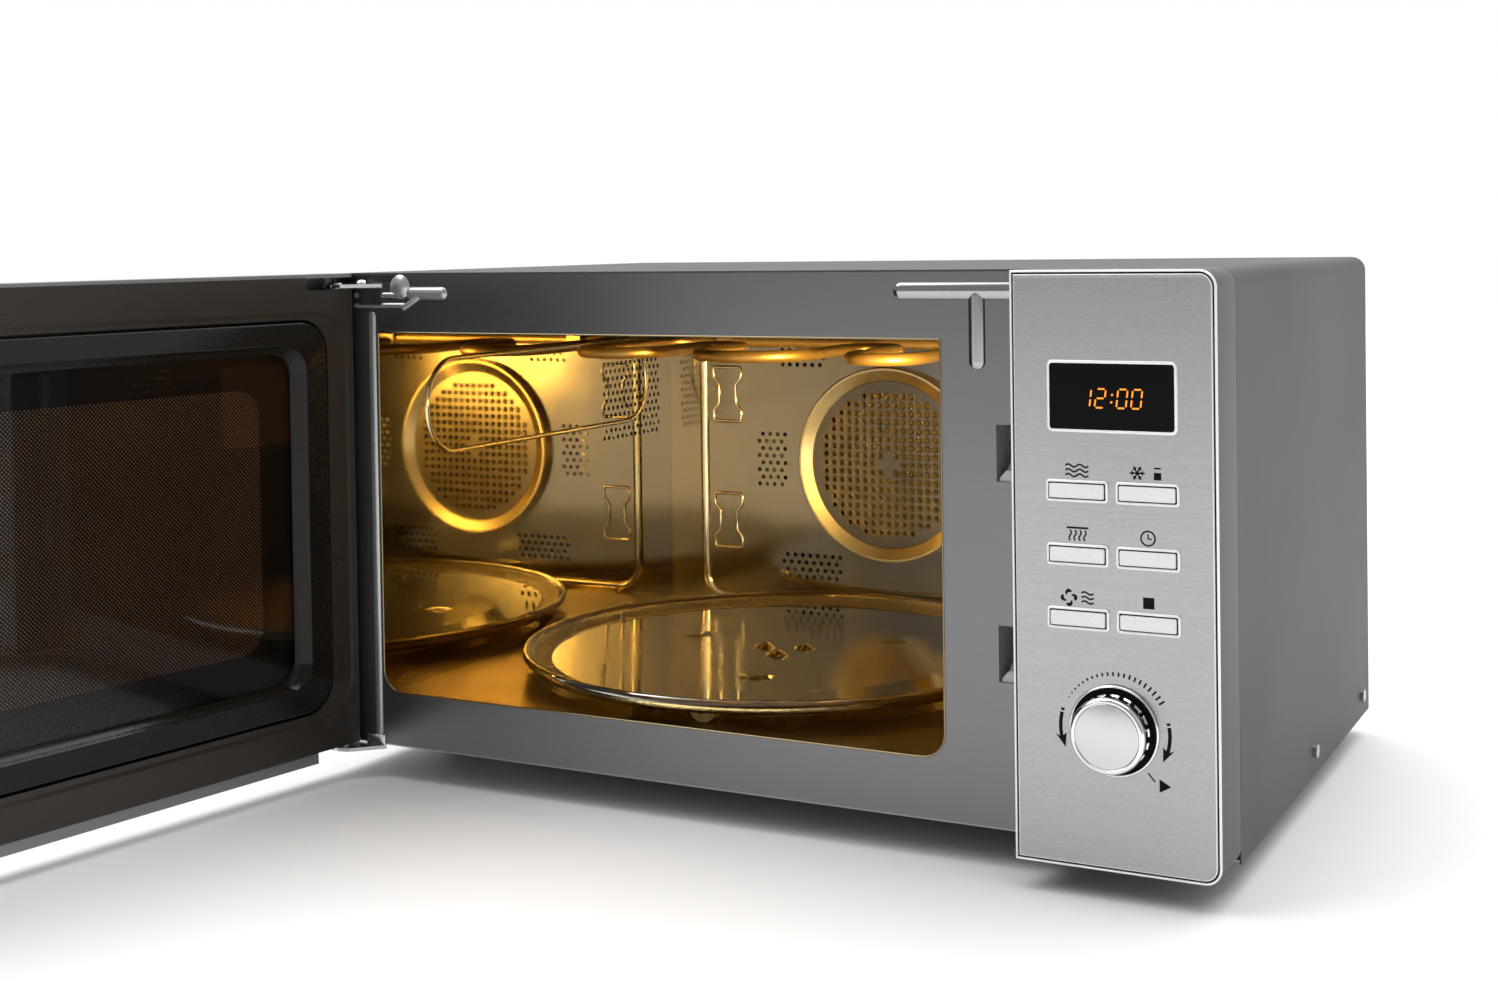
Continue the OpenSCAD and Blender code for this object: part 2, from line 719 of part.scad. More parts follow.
// Front board with its display block, tact switches and the knob's encoder
module control_board() {
    switch_y = board_y - 3.4;
    color("darkgreen") {
        difference() {
            block([px0 + 5, board_y, z_b + 24], [x_r - 5, board_y + 1.6, z_t - 24]);
            rod_y(pmx, knob_z, board_y - 1, board_y + 2, 4);
        }
        block([pmx - 24, face_y + mould_t + 1.2, display_z - 11], [pmx + 24, board_y, display_z + 11]);
        for (i = [0:5]) button_place(i) {
            block([-3, switch_y + 1, -3], [3, board_y, 3]);
            rod_y(0, 0, switch_y, switch_y + 1, 1.6);
        }
        difference() {
            block([pmx - 8, board_y - 4, knob_z - 8], [pmx + 8, board_y, knob_z + 8]);
            rod_y(pmx, knob_z, board_y - 5, board_y + 1, 4);
        }
    }
}

module button(i) {
    front_y = face_y - 1.8;
    floor_y = face_y + fascia_t + mould_t;
    stem_y = board_y - 3.4 - button_travel - 0.2;
    color("gainsboro") button_place(i) {
        slab(front_y, face_y - 0.7) rrect(-button_w / 2 + 1.9, -button_h / 2 + 1.9, button_w / 2 - 1.9,
            button_h / 2 - 1.9, 0.5);
        block([-12, face_y - 0.7, -2.8], [12, floor_y + 0.3, 2.8]);
        block([-13.4, floor_y + 0.3, -3.4], [13.4, floor_y + 1.3, 3.4]);
        block([-1.5, floor_y + 1.3, -1.5], [1.5, stem_y, 1.5]);
    }
}

module button_1() { button(0); }
module button_2() { button(1); }
module button_3() { button(2); }
module button_4() { button(3); }
module button_5() { button(4); }
module button_6() { button(5); }

// Shaft that turns with the knob, in the encoder behind the panel
module knob_shaft() {
    color("silver") {
        rod_y(pmx, knob_z, face_y - knob_t + 3.6, board_y + 3, 3);
        rod_y(pmx, knob_z, board_y - 3, board_y - 1.6, 4 - run);
    }
}

// Knob: a turned cap with a faceted skirt and a bored hub, free to slide on the shaft
module knob() {
    skirt_n = 36;
    y_back = face_y - 1.6;
    color("white") difference() {
        union() {
            rod_y(pmx, knob_z, face_y - knob_t + 1.2, y_back, knob_r - 0.5, $fn = 96);
            translate([pmx, face_y - knob_t + 1.2, knob_z]) rotate([90, 0, 0])
                cylinder(h = 1.2, r1 = knob_r - 0.5, r2 = knob_r - 1.9);
            for (i = [0:skirt_n - 1]) translate([pmx, 0, knob_z]) rotate([0, i * 360 / skirt_n, 0])
                translate([knob_r - 0.9, 0, 0]) block([0, face_y - knob_t + 3, -0.5], [0.9, y_back, 0.5]);
        }
        difference() {
            rod_y(pmx, knob_z, face_y - knob_t + 3, y_back + 1, knob_r - 3);
            rod_y(pmx, knob_z, face_y - knob_t + 3, y_back + 2, 6);
        }
        rod_y(pmx, knob_z, face_y - knob_t + 2.4, y_back + 1, 3 + run);
    }
}

module cord_gland() {
    color("black") {
        rod_y(fan_x + 30, z_b + 30, cab_d - 5, cab_d - 1, 7.8);
        rod_y(fan_x + 30, z_b + 30, cab_d - 1, cab_d + 1.5, 10.5);
        rod_y(fan_x + 30, z_b + 30, cab_d + 1.5, cab_d + 8, 6);
    }
}

// Turntable ----------------------------------------------------------------

// Three-lobed coupler pushed on the motor's shaft
module turntable_coupler() {
    z0 = track_z + 0.8;
    z1 = tray_z - fit;
    color("white") translate([omx, mid_y, 0]) difference() {
        union() {
            translate([0, 0, z0]) cylinder(h = z1 - z0, r = 8);
            for (a = [0, 120, 240]) rotate([0, 0, a]) translate([5, -4, z1 - 6.5]) cube([11, 8, 5.5]);
        }
        translate([0, 0, z0 - 1]) cylinder(h = 5, r = 3 + run);
    }
}

// Glass tray with a raised rim and three lugs that the coupler turns
module turntable_glass() {
    color("khaki") translate([omx, mid_y, 0]) {
        rotate_extrude($fn = 128) polygon([[0, tray_z], [tray_r - 16, tray_z], [tray_r - 5, tray_z + 2.4],
            [tray_r - 0.8, tray_z + 7], [tray_r, tray_z + 9.2], [tray_r, tray_z + tray_t + rim_h - 0.8],
            [tray_r - 0.8, tray_z + tray_t + rim_h], [tray_r - 2.4, tray_z + tray_t + rim_h],
            [tray_r - 5, tray_z + tray_t + 4.2], [tray_r - 10, tray_z + tray_t + 1.6],
            [tray_r - 18, tray_z + tray_t], [0, tray_z + tray_t]]);
        for (a = [60, 180, 300]) rotate([0, 0, a]) {
            translate([13, 0, tray_z - 4]) cylinder(h = 5, r = 4.5);
            translate([tray_r - 48, 0, tray_z - 2]) cylinder(h = 3, r = 6);
        }
    }
}

// Carrier ring with three spokes, an axle on each for a roller
module roller_ring() {
    z0 = track_z + 3.4;
    ring_h = 9;
    color("ivory") translate([omx, mid_y, 0]) {
        difference() {
            translate([0, 0, z0]) cylinder(h = ring_h, r = track_r - 6);
            translate([0, 0, z0 - 1]) cylinder(h = ring_h + 2, r = track_r - 10);
        }
        for (a = [30, 150, 270]) rotate([0, 0, a]) {
            translate([track_r - 9, 0, roller_z]) rotate([0, 90, 0]) cylinder(h = 14, r = 2);
            translate([track_r + 5, 0, roller_z]) rotate([0, 90, 0]) cylinder(h = 1.4, r = 3);
        }
    }
}

module roller(a) {
    color("ivory") translate([omx, mid_y, roller_z]) rotate([0, 0, a]) difference() {
        translate([track_r - 5.6, 0, 0]) rotate([0, 90, 0]) cylinder(h = 10, r = roller_r);
        translate([track_r - 7, 0, 0]) rotate([0, 90, 0]) cylinder(h = 14, r = 2 + run);
    }
}

module roller_1() { roller(270); }
module roller_2() { roller(30); }
module roller_3() { roller(150); }

// Fans ---------------------------------------------------------------------

module convection_fan() {
    y0 = housing_y + 4;
    hub_r = 12;
    color("silver") {
        rod_y(omx, hot_z, y0, y0 + 2, 50);
        rod_y(omx, hot_z, y0 + 2, y0 + 8, hub_r);
        rod_y(omx, hot_z, y0 + 8, housing_y + 38, 2.5);
        for (i = [0:9]) translate([omx, 0, hot_z]) rotate([0, i * 36, 0])
            block([20, y0 + 1, -0.6], [48, y0 + 16, 0.6]);
    }
}

module cooling_fan() {
    y1 = cab_d - 1.8 - 6;
    color("darkslategray") {
        rod_y(fan_x, fan_z, y1 - 18, y1, 14);
        rod_y(fan_x, fan_z, y1 - 34, y1 - 18, 2);
        for (i = [0:6]) translate([fan_x, y1 - 9, fan_z]) rotate([0, i * 360 / 7, 0])
            translate([12, 0, 0]) rotate([35, 0, 0]) translate([0, -1, -11]) cube([fan_hole_r - 15, 2, 22]);
    }
}

// Door, drawn closed -------------------------------------------------------

// Plan of the door's hinge edge: a nose about the axis that clears the cabinet
module door_nose(r, step) {
    intersection() {
        union() {
            translate([hinge_x, hinge_y]) circle(r);
            polygon([[hinge_x - r, hinge_y], [hinge_x - r + 2.6, door_y0 + 2.6 + step], [hinge_x - r + 5,
                door_y0 + step],
                [hinge_x + 30, door_y0 + step], [hinge_x + 30, hinge_y]]);
            translate([hinge_x, hinge_y - 1]) square([30, 12]);
        }
        translate([hinge_x - 20, door_y0 - 1]) square([50, steel_y - sheet_t - fit - door_y0 + 1]);
    }
}

// Moulded outer frame: front face, four sides and the two hinge bosses
module door_outer_frame() {
    bottom_t = 5.8;
    top_t = mould_t;
    inner_y = steel_y - sheet_t - fit;
    color("lightgray") door_swing() difference() {
        union() {
            difference() {
                union() {
                    translate([0, 0, door_z0]) linear_extrude(door_z1 - door_z0) door_nose(nose_r, 0);
                    block([hinge_x + 20, door_y0, door_z0], [door_x1, inner_y, door_z1]);
                }
                difference() {
                    union() {
                        translate([0, 0, door_z0 + bottom_t])
                            linear_extrude(door_z1 - door_z0 - bottom_t - top_t)
                            door_nose(nose_r - mould_t, mould_t);
                        block([hinge_x + 10, door_y0 + mould_t, door_z0 + bottom_t],
                            [door_x1 - mould_t, inner_y + 1, door_z1 - top_t]);
                    }
                    rod_z(hinge_x, hinge_y, z_b, pin_z0 + 14, 7);
                    rod_z(hinge_x, hinge_y, pin_z1 - 14, z_t, 7);
                }
            }
            for (x = [hook_x - slip - 1.5, hook_x + hook_t + slip], z = [omz - 24, omz + 16])
                block([x, door_y0 + 1, z], [x + 1.5, door_y0 + 12, z + 8]);
        }
        slab(door_y0 - 1, door_y0 + mould_t + 1) rrect(ox0 + 6, oz0 - 6, ox1 - 2, oz1 + 6, 10);
        block([door_x0 - 2, hinge_y - 8.2, pin_z1], [hinge_slot_x, inner_y + 2, door_z1 - top_t]);
        block([door_x0 - 2, door_y0 + mould_t, z_b - 1], [hinge_x + 24.6, inner_y + 2, pin_z0 - 1]);
        rod_z(hinge_x, hinge_y, z_b - 1, pin_z0 + 20, hinge_pin_r + run);
        rod_z(hinge_x, hinge_y, pin_z1 - 20, z_t - 3, hinge_pin_r + run);
        for (s = [-1, 1]) rod_y(ox1 + 20, omz + s * handle_l / 2, door_y0 - 1, 0, 2.6);
    }
}

module door_outer_glass() {
    color("black") door_swing() {
        slab(door_y0 + 0.4, door_y0 + mould_t + 1) rrect(ox0 + 6.2, oz0 - 5.8, ox1 - 2.2, oz1 + 5.8, 9.8);
        slab(door_y0 + mould_t + fit, door_y0 + mould_t + 3) rrect(ox0, oz0 - 12, ox1 + 4, oz1 + 12, 10);
    }
}

// Steel inner frame: flat border, choke channel and the screened window
module door_inner_frame() {
    gx = 9;
    gz = 9;
    channel = 15;
    y1 = steel_y;
    y0 = steel_y - choke_depth;
    screen_y = steel_y - 7;
    color("saddlebrown") door_swing() difference() {
        union() {
            slab(y1 - sheet_t, y1) difference() {
                translate([steel_x0, steel_z0]) square([steel_x1 - steel_x0, steel_z1 - steel_z0]);
                rrect(ox0 - gx, oz0 - gz + 2, ox1 + gx, oz1 + gz, 19);
            }
            slab(y0, y1 - sheet_t) difference() {
                rrect(ox0 - gx - sheet_t, oz0 - gz + 2 - sheet_t, ox1 + gx + sheet_t, oz1 + gz + sheet_t,
                    19.8);
                rrect(ox0 - gx, oz0 - gz + 2, ox1 + gx, oz1 + gz, 19);
            }
            slab(y0, y0 + sheet_t) difference() {
                rrect(ox0 - gx, oz0 - gz + 2, ox1 + gx, oz1 + gz, 19);
                rrect(ox0 - gx + channel, oz0 - gz + 2 + channel, ox1 + gx - channel, oz1 + gz - channel,
                    12);
            }
            slab(y0 + sheet_t, screen_y) difference() {
                rrect(ox0 - gx + channel - sheet_t, oz0 - gz + 2 + channel - sheet_t,
                    ox1 + gx - channel + sheet_t,
                    oz1 + gz - channel + sheet_t, 12.8);
                rrect(ox0 - gx + channel, oz0 - gz + 2 + channel, ox1 + gx - channel, oz1 + gz - channel,
                    12);
            }
            slab(screen_y - sheet_t, screen_y)
                rrect(ox0 - gx + channel, oz0 - gz + 2 + channel, ox1 + gx - channel, oz1 + gz - channel,
                    12);
        }
        block([door_x0 - 2, y0 - 1, pin_z1 - 0.2], [hinge_slot_x, y1 + 1, z_t]);
        for (s = [-1, 1]) translate([0, 0, omz + s * latch_pitch / 2])
            block([hook_x - 0.8, y0 - 1, -latch_h / 2 + 4], [hook_x + hook_t + 0.8, y1 + 1,
                latch_h / 2 + 1]);
    }
}

// Ring that covers the choke channel around the inner glass
module choke_cover() {
    lip = 6.5;
    y1 = steel_y + 0.8;
    y_lip = steel_y - 4.2;
    color("black") door_swing() difference() {
        union() {
            slab(y1 - 2, y1) rrect(ox0 - 7.4, oz0 - 5.4, ox1 + 7.4, oz1 + 7.4, 17.5);
            slab(y_lip, y1 - 2) rrect(ox0 + 5, oz0 + 5, ox1 - 5, oz1 - 5, 15);
        }
        slab(y_lip - 1, y1 + 1) rrect(ox0 + lip + 5, oz0 + lip + 3, ox1 - lip - 5, oz1 - lip - 3, 14);
        slab(y1 - 2.6, y1 + 1) rrect(ox0 + lip, oz0 + lip, ox1 - lip, oz1 - lip, 16);
    }
}

module door_inner_glass() {
    color("dimgray") door_swing() slab(steel_y - 7 + fit, steel_y - 4.2 - fit)
        rrect(ox0 + 7, oz0 + 7, ox1 - 7, oz1 - 7, 11);
}

// Bar handle on two posts
module door_handle() {
    x = ox1 + 20;
    bar_y = door_y0 - handle_reach;
    overhang = 14;
    color("silver") door_swing() {
        rod_z(x, bar_y, omz - handle_l / 2 - overhang, omz + handle_l / 2 + overhang, handle_r);
        for (s = [-1, 1]) {
            rod_y(x, omz + s * handle_l / 2, bar_y, door_y0 - 0.02, 5);
            rod_y(x, omz + s * handle_l / 2, door_y0 - 0.02, door_y0 + mould_t + 2, 2.4);
        }
    }
}

// Sprung bar inside the door's free edge with two hooks
module latch_hooks() {
    y0 = door_y0 + 6;
    y1 = steel_y - sheet_t - 3;
    reach = 20;
    color("white") door_swing() {
        block([hook_x, y0, omz - 75], [hook_x + hook_t, y1, omz + 75]);
        for (s = [-1, 1]) translate([0, 0, omz + s * latch_pitch / 2]) {
            block([hook_x, y1, -5], [hook_x + hook_t, reach - 6, 5]);
            translate([hook_x, 0, 0]) rotate([90, 0, 90]) linear_extrude(hook_t)
                polygon([[reach - 6, 5], [reach - 6, -5], [reach - 9, -5], [reach - 9, -8], [reach - 5,
                    -8], [reach, 1],
                    [reach - 2, 5]]);
        }
    }
}

outer_cover();
cabinet_screws();
base_plate();
feet();
front_plate();
rear_panel();
rear_fan_cover();
fan_housing();
cavity_left_wall();
cavity_right_wall();
cavity_ceiling();
cavity_floor();
cavity_back_wall();
fan_guard();
grill_element();
grill_clips();
waveguide_cover();
waveguide();
magnetron();
hv_transformer();
hv_capacitor();
cavity_lamp();
turntable_motor();
convection_motor();
convection_heater();
cooling_fan_motor();
latch_bracket();
interlock_switches();
upper_hinge();
lower_hinge();
panel_bezel();
panel_fascia();
display_window();
button_frames();
knob_ring();
control_board();
cord_gland();
button_1();
button_2();
button_3();
button_4();
button_5();
button_6();
knob_shaft();
knob();
turntable_coupler();
turntable_glass();
roller_ring();
roller_1();
roller_2();
roller_3();
convection_fan();
cooling_fan();
door_outer_frame();
door_outer_glass();
door_inner_frame();
choke_cover();
door_inner_glass();
door_handle();
latch_hooks();
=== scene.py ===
"""A countertop microwave oven with its door open: finishes for the carried-over parts, and the fine
pressed, moulded and printed details that sit on them. Lengths in the shape code are millimetres."""
import json
import math

import bmesh
import bpy
import numpy as np
from mathutils import Matrix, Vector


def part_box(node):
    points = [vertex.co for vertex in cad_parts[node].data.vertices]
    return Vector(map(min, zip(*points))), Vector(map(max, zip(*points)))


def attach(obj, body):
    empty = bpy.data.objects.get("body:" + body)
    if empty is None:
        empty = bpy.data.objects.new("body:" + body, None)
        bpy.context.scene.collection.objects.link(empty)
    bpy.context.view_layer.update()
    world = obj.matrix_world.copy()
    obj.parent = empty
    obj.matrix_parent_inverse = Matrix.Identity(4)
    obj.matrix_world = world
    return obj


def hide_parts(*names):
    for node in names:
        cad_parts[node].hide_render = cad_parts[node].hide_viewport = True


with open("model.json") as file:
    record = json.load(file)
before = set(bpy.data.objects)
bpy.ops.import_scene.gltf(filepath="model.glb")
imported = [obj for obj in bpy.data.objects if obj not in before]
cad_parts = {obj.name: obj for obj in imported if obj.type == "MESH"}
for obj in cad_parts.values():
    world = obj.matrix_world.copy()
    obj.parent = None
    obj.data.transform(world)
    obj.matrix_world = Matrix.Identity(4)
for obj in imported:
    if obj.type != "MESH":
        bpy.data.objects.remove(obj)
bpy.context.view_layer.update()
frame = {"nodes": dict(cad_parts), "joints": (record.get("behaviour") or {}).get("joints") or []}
MM = 0.001


def low(node):
    """Lowest corner of a carried-over part, in millimetres."""
    return np.array(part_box(node)[0]) / MM


def high(node):
    """Highest corner of a carried-over part, in millimetres."""
    return np.array(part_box(node)[1]) / MM


# Places taken from the carried-over parts
PLATE_Y = low("front_plate")[1]
LEFT, RIGHT = high("cavity_left_wall")[0], low("cavity_right_wall")[0]
FLOOR, CEILING = high("cavity_floor")[2], low("cavity_ceiling")[2]
BACK = low("cavity_back_wall")[1]
MID_X = (LEFT + RIGHT) / 2
TRAY_C = (low("turntable_glass") + high("turntable_glass")) / 2
GUARD = (low("fan_guard") + high("fan_guard")) / 2
PANEL0, PANEL1 = low("panel_bezel"), high("panel_bezel")
FACE_Y = low("panel_fascia")[1]
HINGE = next(j for j in frame["joints"] if j["name"] == "door_hinge")
AXIS = np.array(HINGE["pos_m"]) / MM
OPEN = math.radians(HINGE["range_deg"][1])
STEEL_Y = AXIS[1] + 7.1
OMZ = (low("choke_cover")[2] + high("choke_cover")[2]) / 2 - 1.0


def swing(points):
    """Closed-door points turned about the hinge axis to the drawn angle: x' = a + R(-open)(x - a)."""
    c, s = math.cos(OPEN), math.sin(OPEN)
    p = np.array(points, float)
    d = p[..., :2] - AXIS[:2]
    p[..., 0] = AXIS[0] + c * d[..., 0] + s * d[..., 1]
    p[..., 1] = AXIS[1] - s * d[..., 0] + c * d[..., 1]
    return p


# Mesh makers ---------------------------------------------------------------------------------

def grid_faces(n, m, wrap_n=False, wrap_m=False):
    """Quads of an n by m grid of points, index = i * m + j."""
    i, j = np.meshgrid(np.arange(n if wrap_n else n - 1), np.arange(m if wrap_m else m - 1), indexing="ij")
    a = i * m + j
    b = ((i + 1) % n) * m + j
    c = ((i + 1) % n) * m + (j + 1) % m
    d = i * m + (j + 1) % m
    return np.stack([a, b, c, d], -1).reshape(-1, 4).tolist()


def outline(x0, z0, x1, z1, r, k=10):
    """Points round a rectangle with round corners, anticlockwise from the lower right: each corner is
    centre + r (cos t, sin t) over a quarter turn. r is one radius or four: lower right, upper right,
    upper left, lower left."""
    rs = np.array([r] * 4 if np.isscalar(r) else r, float)
    cx = np.array([x1, x1, x0, x0]) + np.array([-1, -1, 1, 1]) * rs
    cz = np.array([z0, z1, z1, z0]) + np.array([1, -1, -1, 1]) * rs
    t = np.radians(np.array([-90, 0, 90, 180])[:, None] + np.linspace(0, 90, k)[None, :])
    x = cx[:, None] + rs[:, None] * np.cos(t)
    z = cz[:, None] + rs[:, None] * np.sin(t)
    return np.stack([x.ravel(), z.ravel()], -1)


def rings(levels, k=10, cap_first=False, cap_last=False):
    """Shell through a stack of rounded rectangles, each level (x0, z0, x1, z1, r, y), with flat ends."""
    loops = [np.insert(outline(*v[:5], k), 1, v[5], axis=1) for v in levels]
    points = np.concatenate(loops)
    m = 4 * k
    faces = grid_faces(len(levels), m, wrap_m=True)
    if cap_first:
        faces.append(list(range(m))[::-1])
    if cap_last:
        faces.append([(len(levels) - 1) * m + j for j in range(m)])
    return points, faces


def inset(box, steps):
    """Levels made from one rectangle: steps are (inset, y) pairs, and a corner radius shrinks with the inset."""
    x0, z0, x1, z1, r = box
    r = np.array([r] * 4 if np.isscalar(r) else r, float)
    return [(x0 + i, z0 + i, x1 - i, z1 - i, np.maximum(r - i, 0.05), y) for i, y in steps]


def turned(profile, centre, axis="z", n=96):
    """Surface of revolution of (radius, height) pairs: p = c + r cos t u + r sin t v + h w."""
    prof = np.array(profile, float)
    t = np.linspace(0, 2 * math.pi, n, endpoint=False)
    r, h = prof[:, 0][:, None], prof[:, 1][:, None]
    a, b, c = r * np.cos(t), r * np.sin(t), np.broadcast_to(h, (len(prof), n))
    order = {"z": (a, b, c), "y": (a, -c, b)}[axis]
    pts = np.stack(order, -1).reshape(-1, 3) + np.array(centre)
    return pts, grid_faces(len(prof), n, wrap_m=True)


def swept(path, section, across=(0, 1, 0)):
    """Section carried round a closed path in a plane: p = path + s_u (tangent x across) + s_v across."""
    path = np.array(path, float)
    sec = np.array(section, float)
    w = np.array(across, float)
    t = np.roll(path, -1, 0) - np.roll(path, 1, 0)
    t /= np.linalg.norm(t, axis=1, keepdims=True)
    side = np.cross(t, w)
    pts = path[:, None, :] + sec[None, :, 0, None] * side[:, None, :] + sec[None, :, 1, None] * w
    return pts.reshape(-1, 3), grid_faces(len(path), len(sec), wrap_n=True)


def together(*shapes):
    """One list of points and faces from several."""
    pts, faces, base = [], [], 0
    for p, f in shapes:
        pts.append(np.array(p, float))
        faces += [[v + base for v in q] for q in f]
        base += len(p)
    return np.concatenate(pts), faces


def piece(name, shape, finish, body, replaces=(), sharp=35, turn=False):
    """Puts points and faces into a mesh object that rides on a body."""
    pts, faces = shape
    pts = swing(pts) if turn else np.array(pts, float)
    mesh = bpy.data.meshes.new(name)
    mesh.from_pydata((pts * MM).tolist(), [], faces)
    mesh.validate()
    mesh.update()
    mesh.shade_smooth()
    mesh.set_sharp_from_angle(angle=math.radians(sharp))
    obj = bpy.data.objects.new(name, mesh)
    bpy.context.scene.collection.objects.link(obj)
    mesh.materials.append(finish)
    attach(obj, body)
    if replaces:
        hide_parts(*replaces)
    return obj


def outward(name):
    """Turns a closed piece's faces outwards."""
    mesh = bpy.data.objects[name].data
    bm = bmesh.new()
    bm.from_mesh(mesh)
    bmesh.ops.recalc_face_normals(bm, faces=bm.faces)
    bm.to_mesh(mesh)
    bm.free()


# Pattern groups --------------------------------------------------------------------------------

def group(name, inputs, outputs):
    """An empty shader group with named float or vector sockets."""
    g = bpy.data.node_groups.new(name, "ShaderNodeTree")
    for label, kind, value in inputs:
        s = g.interface.new_socket(label, in_out="INPUT", socket_type="NodeSocket" + kind)
        s.default_value = value
    for label in outputs:
        g.interface.new_socket(label, in_out="OUTPUT", socket_type="NodeSocketFloat")
    return g, g.nodes.new("NodeGroupInput"), g.nodes.new("NodeGroupOutput")


def calc(tree, op, *values, clamp=False):
    """A math node; values are numbers or sockets."""
    n = tree.nodes.new("ShaderNodeMath")
    n.operation = op
    n.use_clamp = clamp
    for s, v in zip(n.inputs, values):
        if isinstance(v, bpy.types.NodeSocket):
            tree.links.new(v, s)
        else:
            s.default_value = v
    return n.outputs[0]


def split(tree, vector):
    """The X, Y and Z of a vector."""
    n = tree.nodes.new("ShaderNodeSeparateXYZ")
    tree.links.new(vector, n.inputs[0])
    return n.outputs


def square_sum(tree, a, b):
    """a squared plus b squared."""
    return calc(tree, "ADD", calc(tree, "MULTIPLY", a, a), calc(tree, "MULTIPLY", b, b))


def noise(tree, vector, scale, detail=2.0, rough=0.5):
    """A cloudy noise value from 0 to 1."""
    n = tree.nodes.new("ShaderNodeTexNoise")
    n.inputs["Scale"].default_value = scale
    n.inputs["Detail"].default_value = detail
    n.inputs["Roughness"].default_value = rough
    tree.links.new(vector, n.inputs["Vector"])
    return n.outputs["Fac"]


def scaled(tree, vector, by):
    """A vector times another, part by part."""
    n = tree.nodes.new("ShaderNodeVectorMath")
    n.operation = "MULTIPLY"
    tree.links.new(vector, n.inputs[0])
    if isinstance(by, bpy.types.NodeSocket):
        tree.links.new(by, n.inputs[1])
    else:
        n.inputs[1].default_value = by
    return n.outputs[0]


def brushed_group():
    """Fine lines from a noise that is stretched along the brushing direction, and a broad slow tone."""
    g, i, o = group("brushed lines", [("Vector", "Vector", (0, 0, 0)), ("Stretch", "Vector", (1, 1, 1)),
                                      ("Strength", "Float", 1.0)], ["Tone", "Height"])
    v = scaled(g, i.outputs["Vector"], i.outputs["Stretch"])
    fine = noise(g, v, 1.0, 3.0, 0.7)
    finer = noise(g, scaled(g, v, (2.7, 2.7, 2.7)), 1.0, 2.0, 0.6)
    both = calc(g, "ADD", calc(g, "MULTIPLY", fine, 0.6), calc(g, "MULTIPLY", finer, 0.4))
    off = calc(g, "MULTIPLY", calc(g, "SUBTRACT", both, 0.5), i.outputs["Strength"])
    g.links.new(calc(g, "ADD", off, 0.5, clamp=True), o.inputs["Tone"])
    g.links.new(both, o.inputs["Height"])
    return g


def smudge_group():
    """Slow cloudy tone for handling marks and uneven polish."""
    g, i, o = group("smudges", [("Vector", "Vector", (0, 0, 0)), ("Scale", "Float", 12.0), ("Amount",
                                                                                            "Float", 0.1)],
                    ["Shift"])
    n = g.nodes.new("ShaderNodeTexNoise")
    n.inputs["Detail"].default_value = 4.0
    g.links.new(i.outputs["Vector"], n.inputs["Vector"])
    g.links.new(i.outputs["Scale"], n.inputs["Scale"])
    g.links.new(calc(g, "MULTIPLY", calc(g, "SUBTRACT", n.outputs["Fac"], 0.5), i.outputs["Amount"]),
                o.inputs["Shift"])
    return g


def dot_group():
    """Staggered round holes: rows half a pitch apart, every other row half a pitch along. Mask is 1 in a hole."""
    g, i, o = group("staggered dots", [("Vector", "Vector", (0, 0, 0)), ("Pitch", "Float", 0.002),
                                       ("Radius", "Float", 0.0006)], ["Mask"])
    sep = split(g, i.outputs["Vector"])
    pitch = i.outputs["Pitch"]
    row = calc(g, "DIVIDE", sep["Z"], calc(g, "MULTIPLY", pitch, 0.5))
    odd = calc(g, "MULTIPLY", calc(g, "FLOORED_MODULO", calc(g, "FLOOR", row), 2.0), 0.5)
    u = calc(g, "SUBTRACT", calc(g, "FRACT", calc(g, "ADD", calc(g, "DIVIDE", sep["X"], pitch), odd)), 0.5)
    v = calc(g, "MULTIPLY", calc(g, "SUBTRACT", calc(g, "FRACT", row), 0.5), 0.5)
    dist = calc(g, "SQRT", square_sum(g, u, v))
    edge = calc(g, "DIVIDE", i.outputs["Radius"], pitch)
    g.links.new(calc(g, "MULTIPLY", calc(g, "SUBTRACT", edge, dist), 12.0, clamp=True), o.inputs["Mask"])
    return g


def frame_group():
    """Distance inside a rounded rectangle centred on the origin of X and Z: positive inside, in metres."""
    g, i, o = group("distance inside outline", [("Vector", "Vector", (0, 0, 0)), ("Half width", "Float", 0.1),
                                                ("Half height", "Float", 0.1), ("Radius", "Float", 0.01)],
                    ["Distance"])
    sep = split(g, i.outputs["Vector"])
    r = i.outputs["Radius"]
    qx = calc(g, "SUBTRACT", calc(g, "ABSOLUTE", sep["X"]), calc(g, "SUBTRACT", i.outputs["Half width"], r))
    qz = calc(g, "SUBTRACT", calc(g, "ABSOLUTE", sep["Z"]), calc(g, "SUBTRACT", i.outputs["Half height"], r))
    px, pz = calc(g, "MAXIMUM", qx, 0.0), calc(g, "MAXIMUM", qz, 0.0)
    far = calc(g, "SQRT", square_sum(g, px, pz))
    near = calc(g, "MINIMUM", calc(g, "MAXIMUM", qx, qz), 0.0)
    g.links.new(calc(g, "SUBTRACT", r, calc(g, "ADD", far, near)), o.inputs["Distance"])
    return g


BRUSHED, SMUDGES, DOTS, INSIDE = brushed_group(), smudge_group(), dot_group(), frame_group()


# Finishes --------------------------------------------------------------------------------------

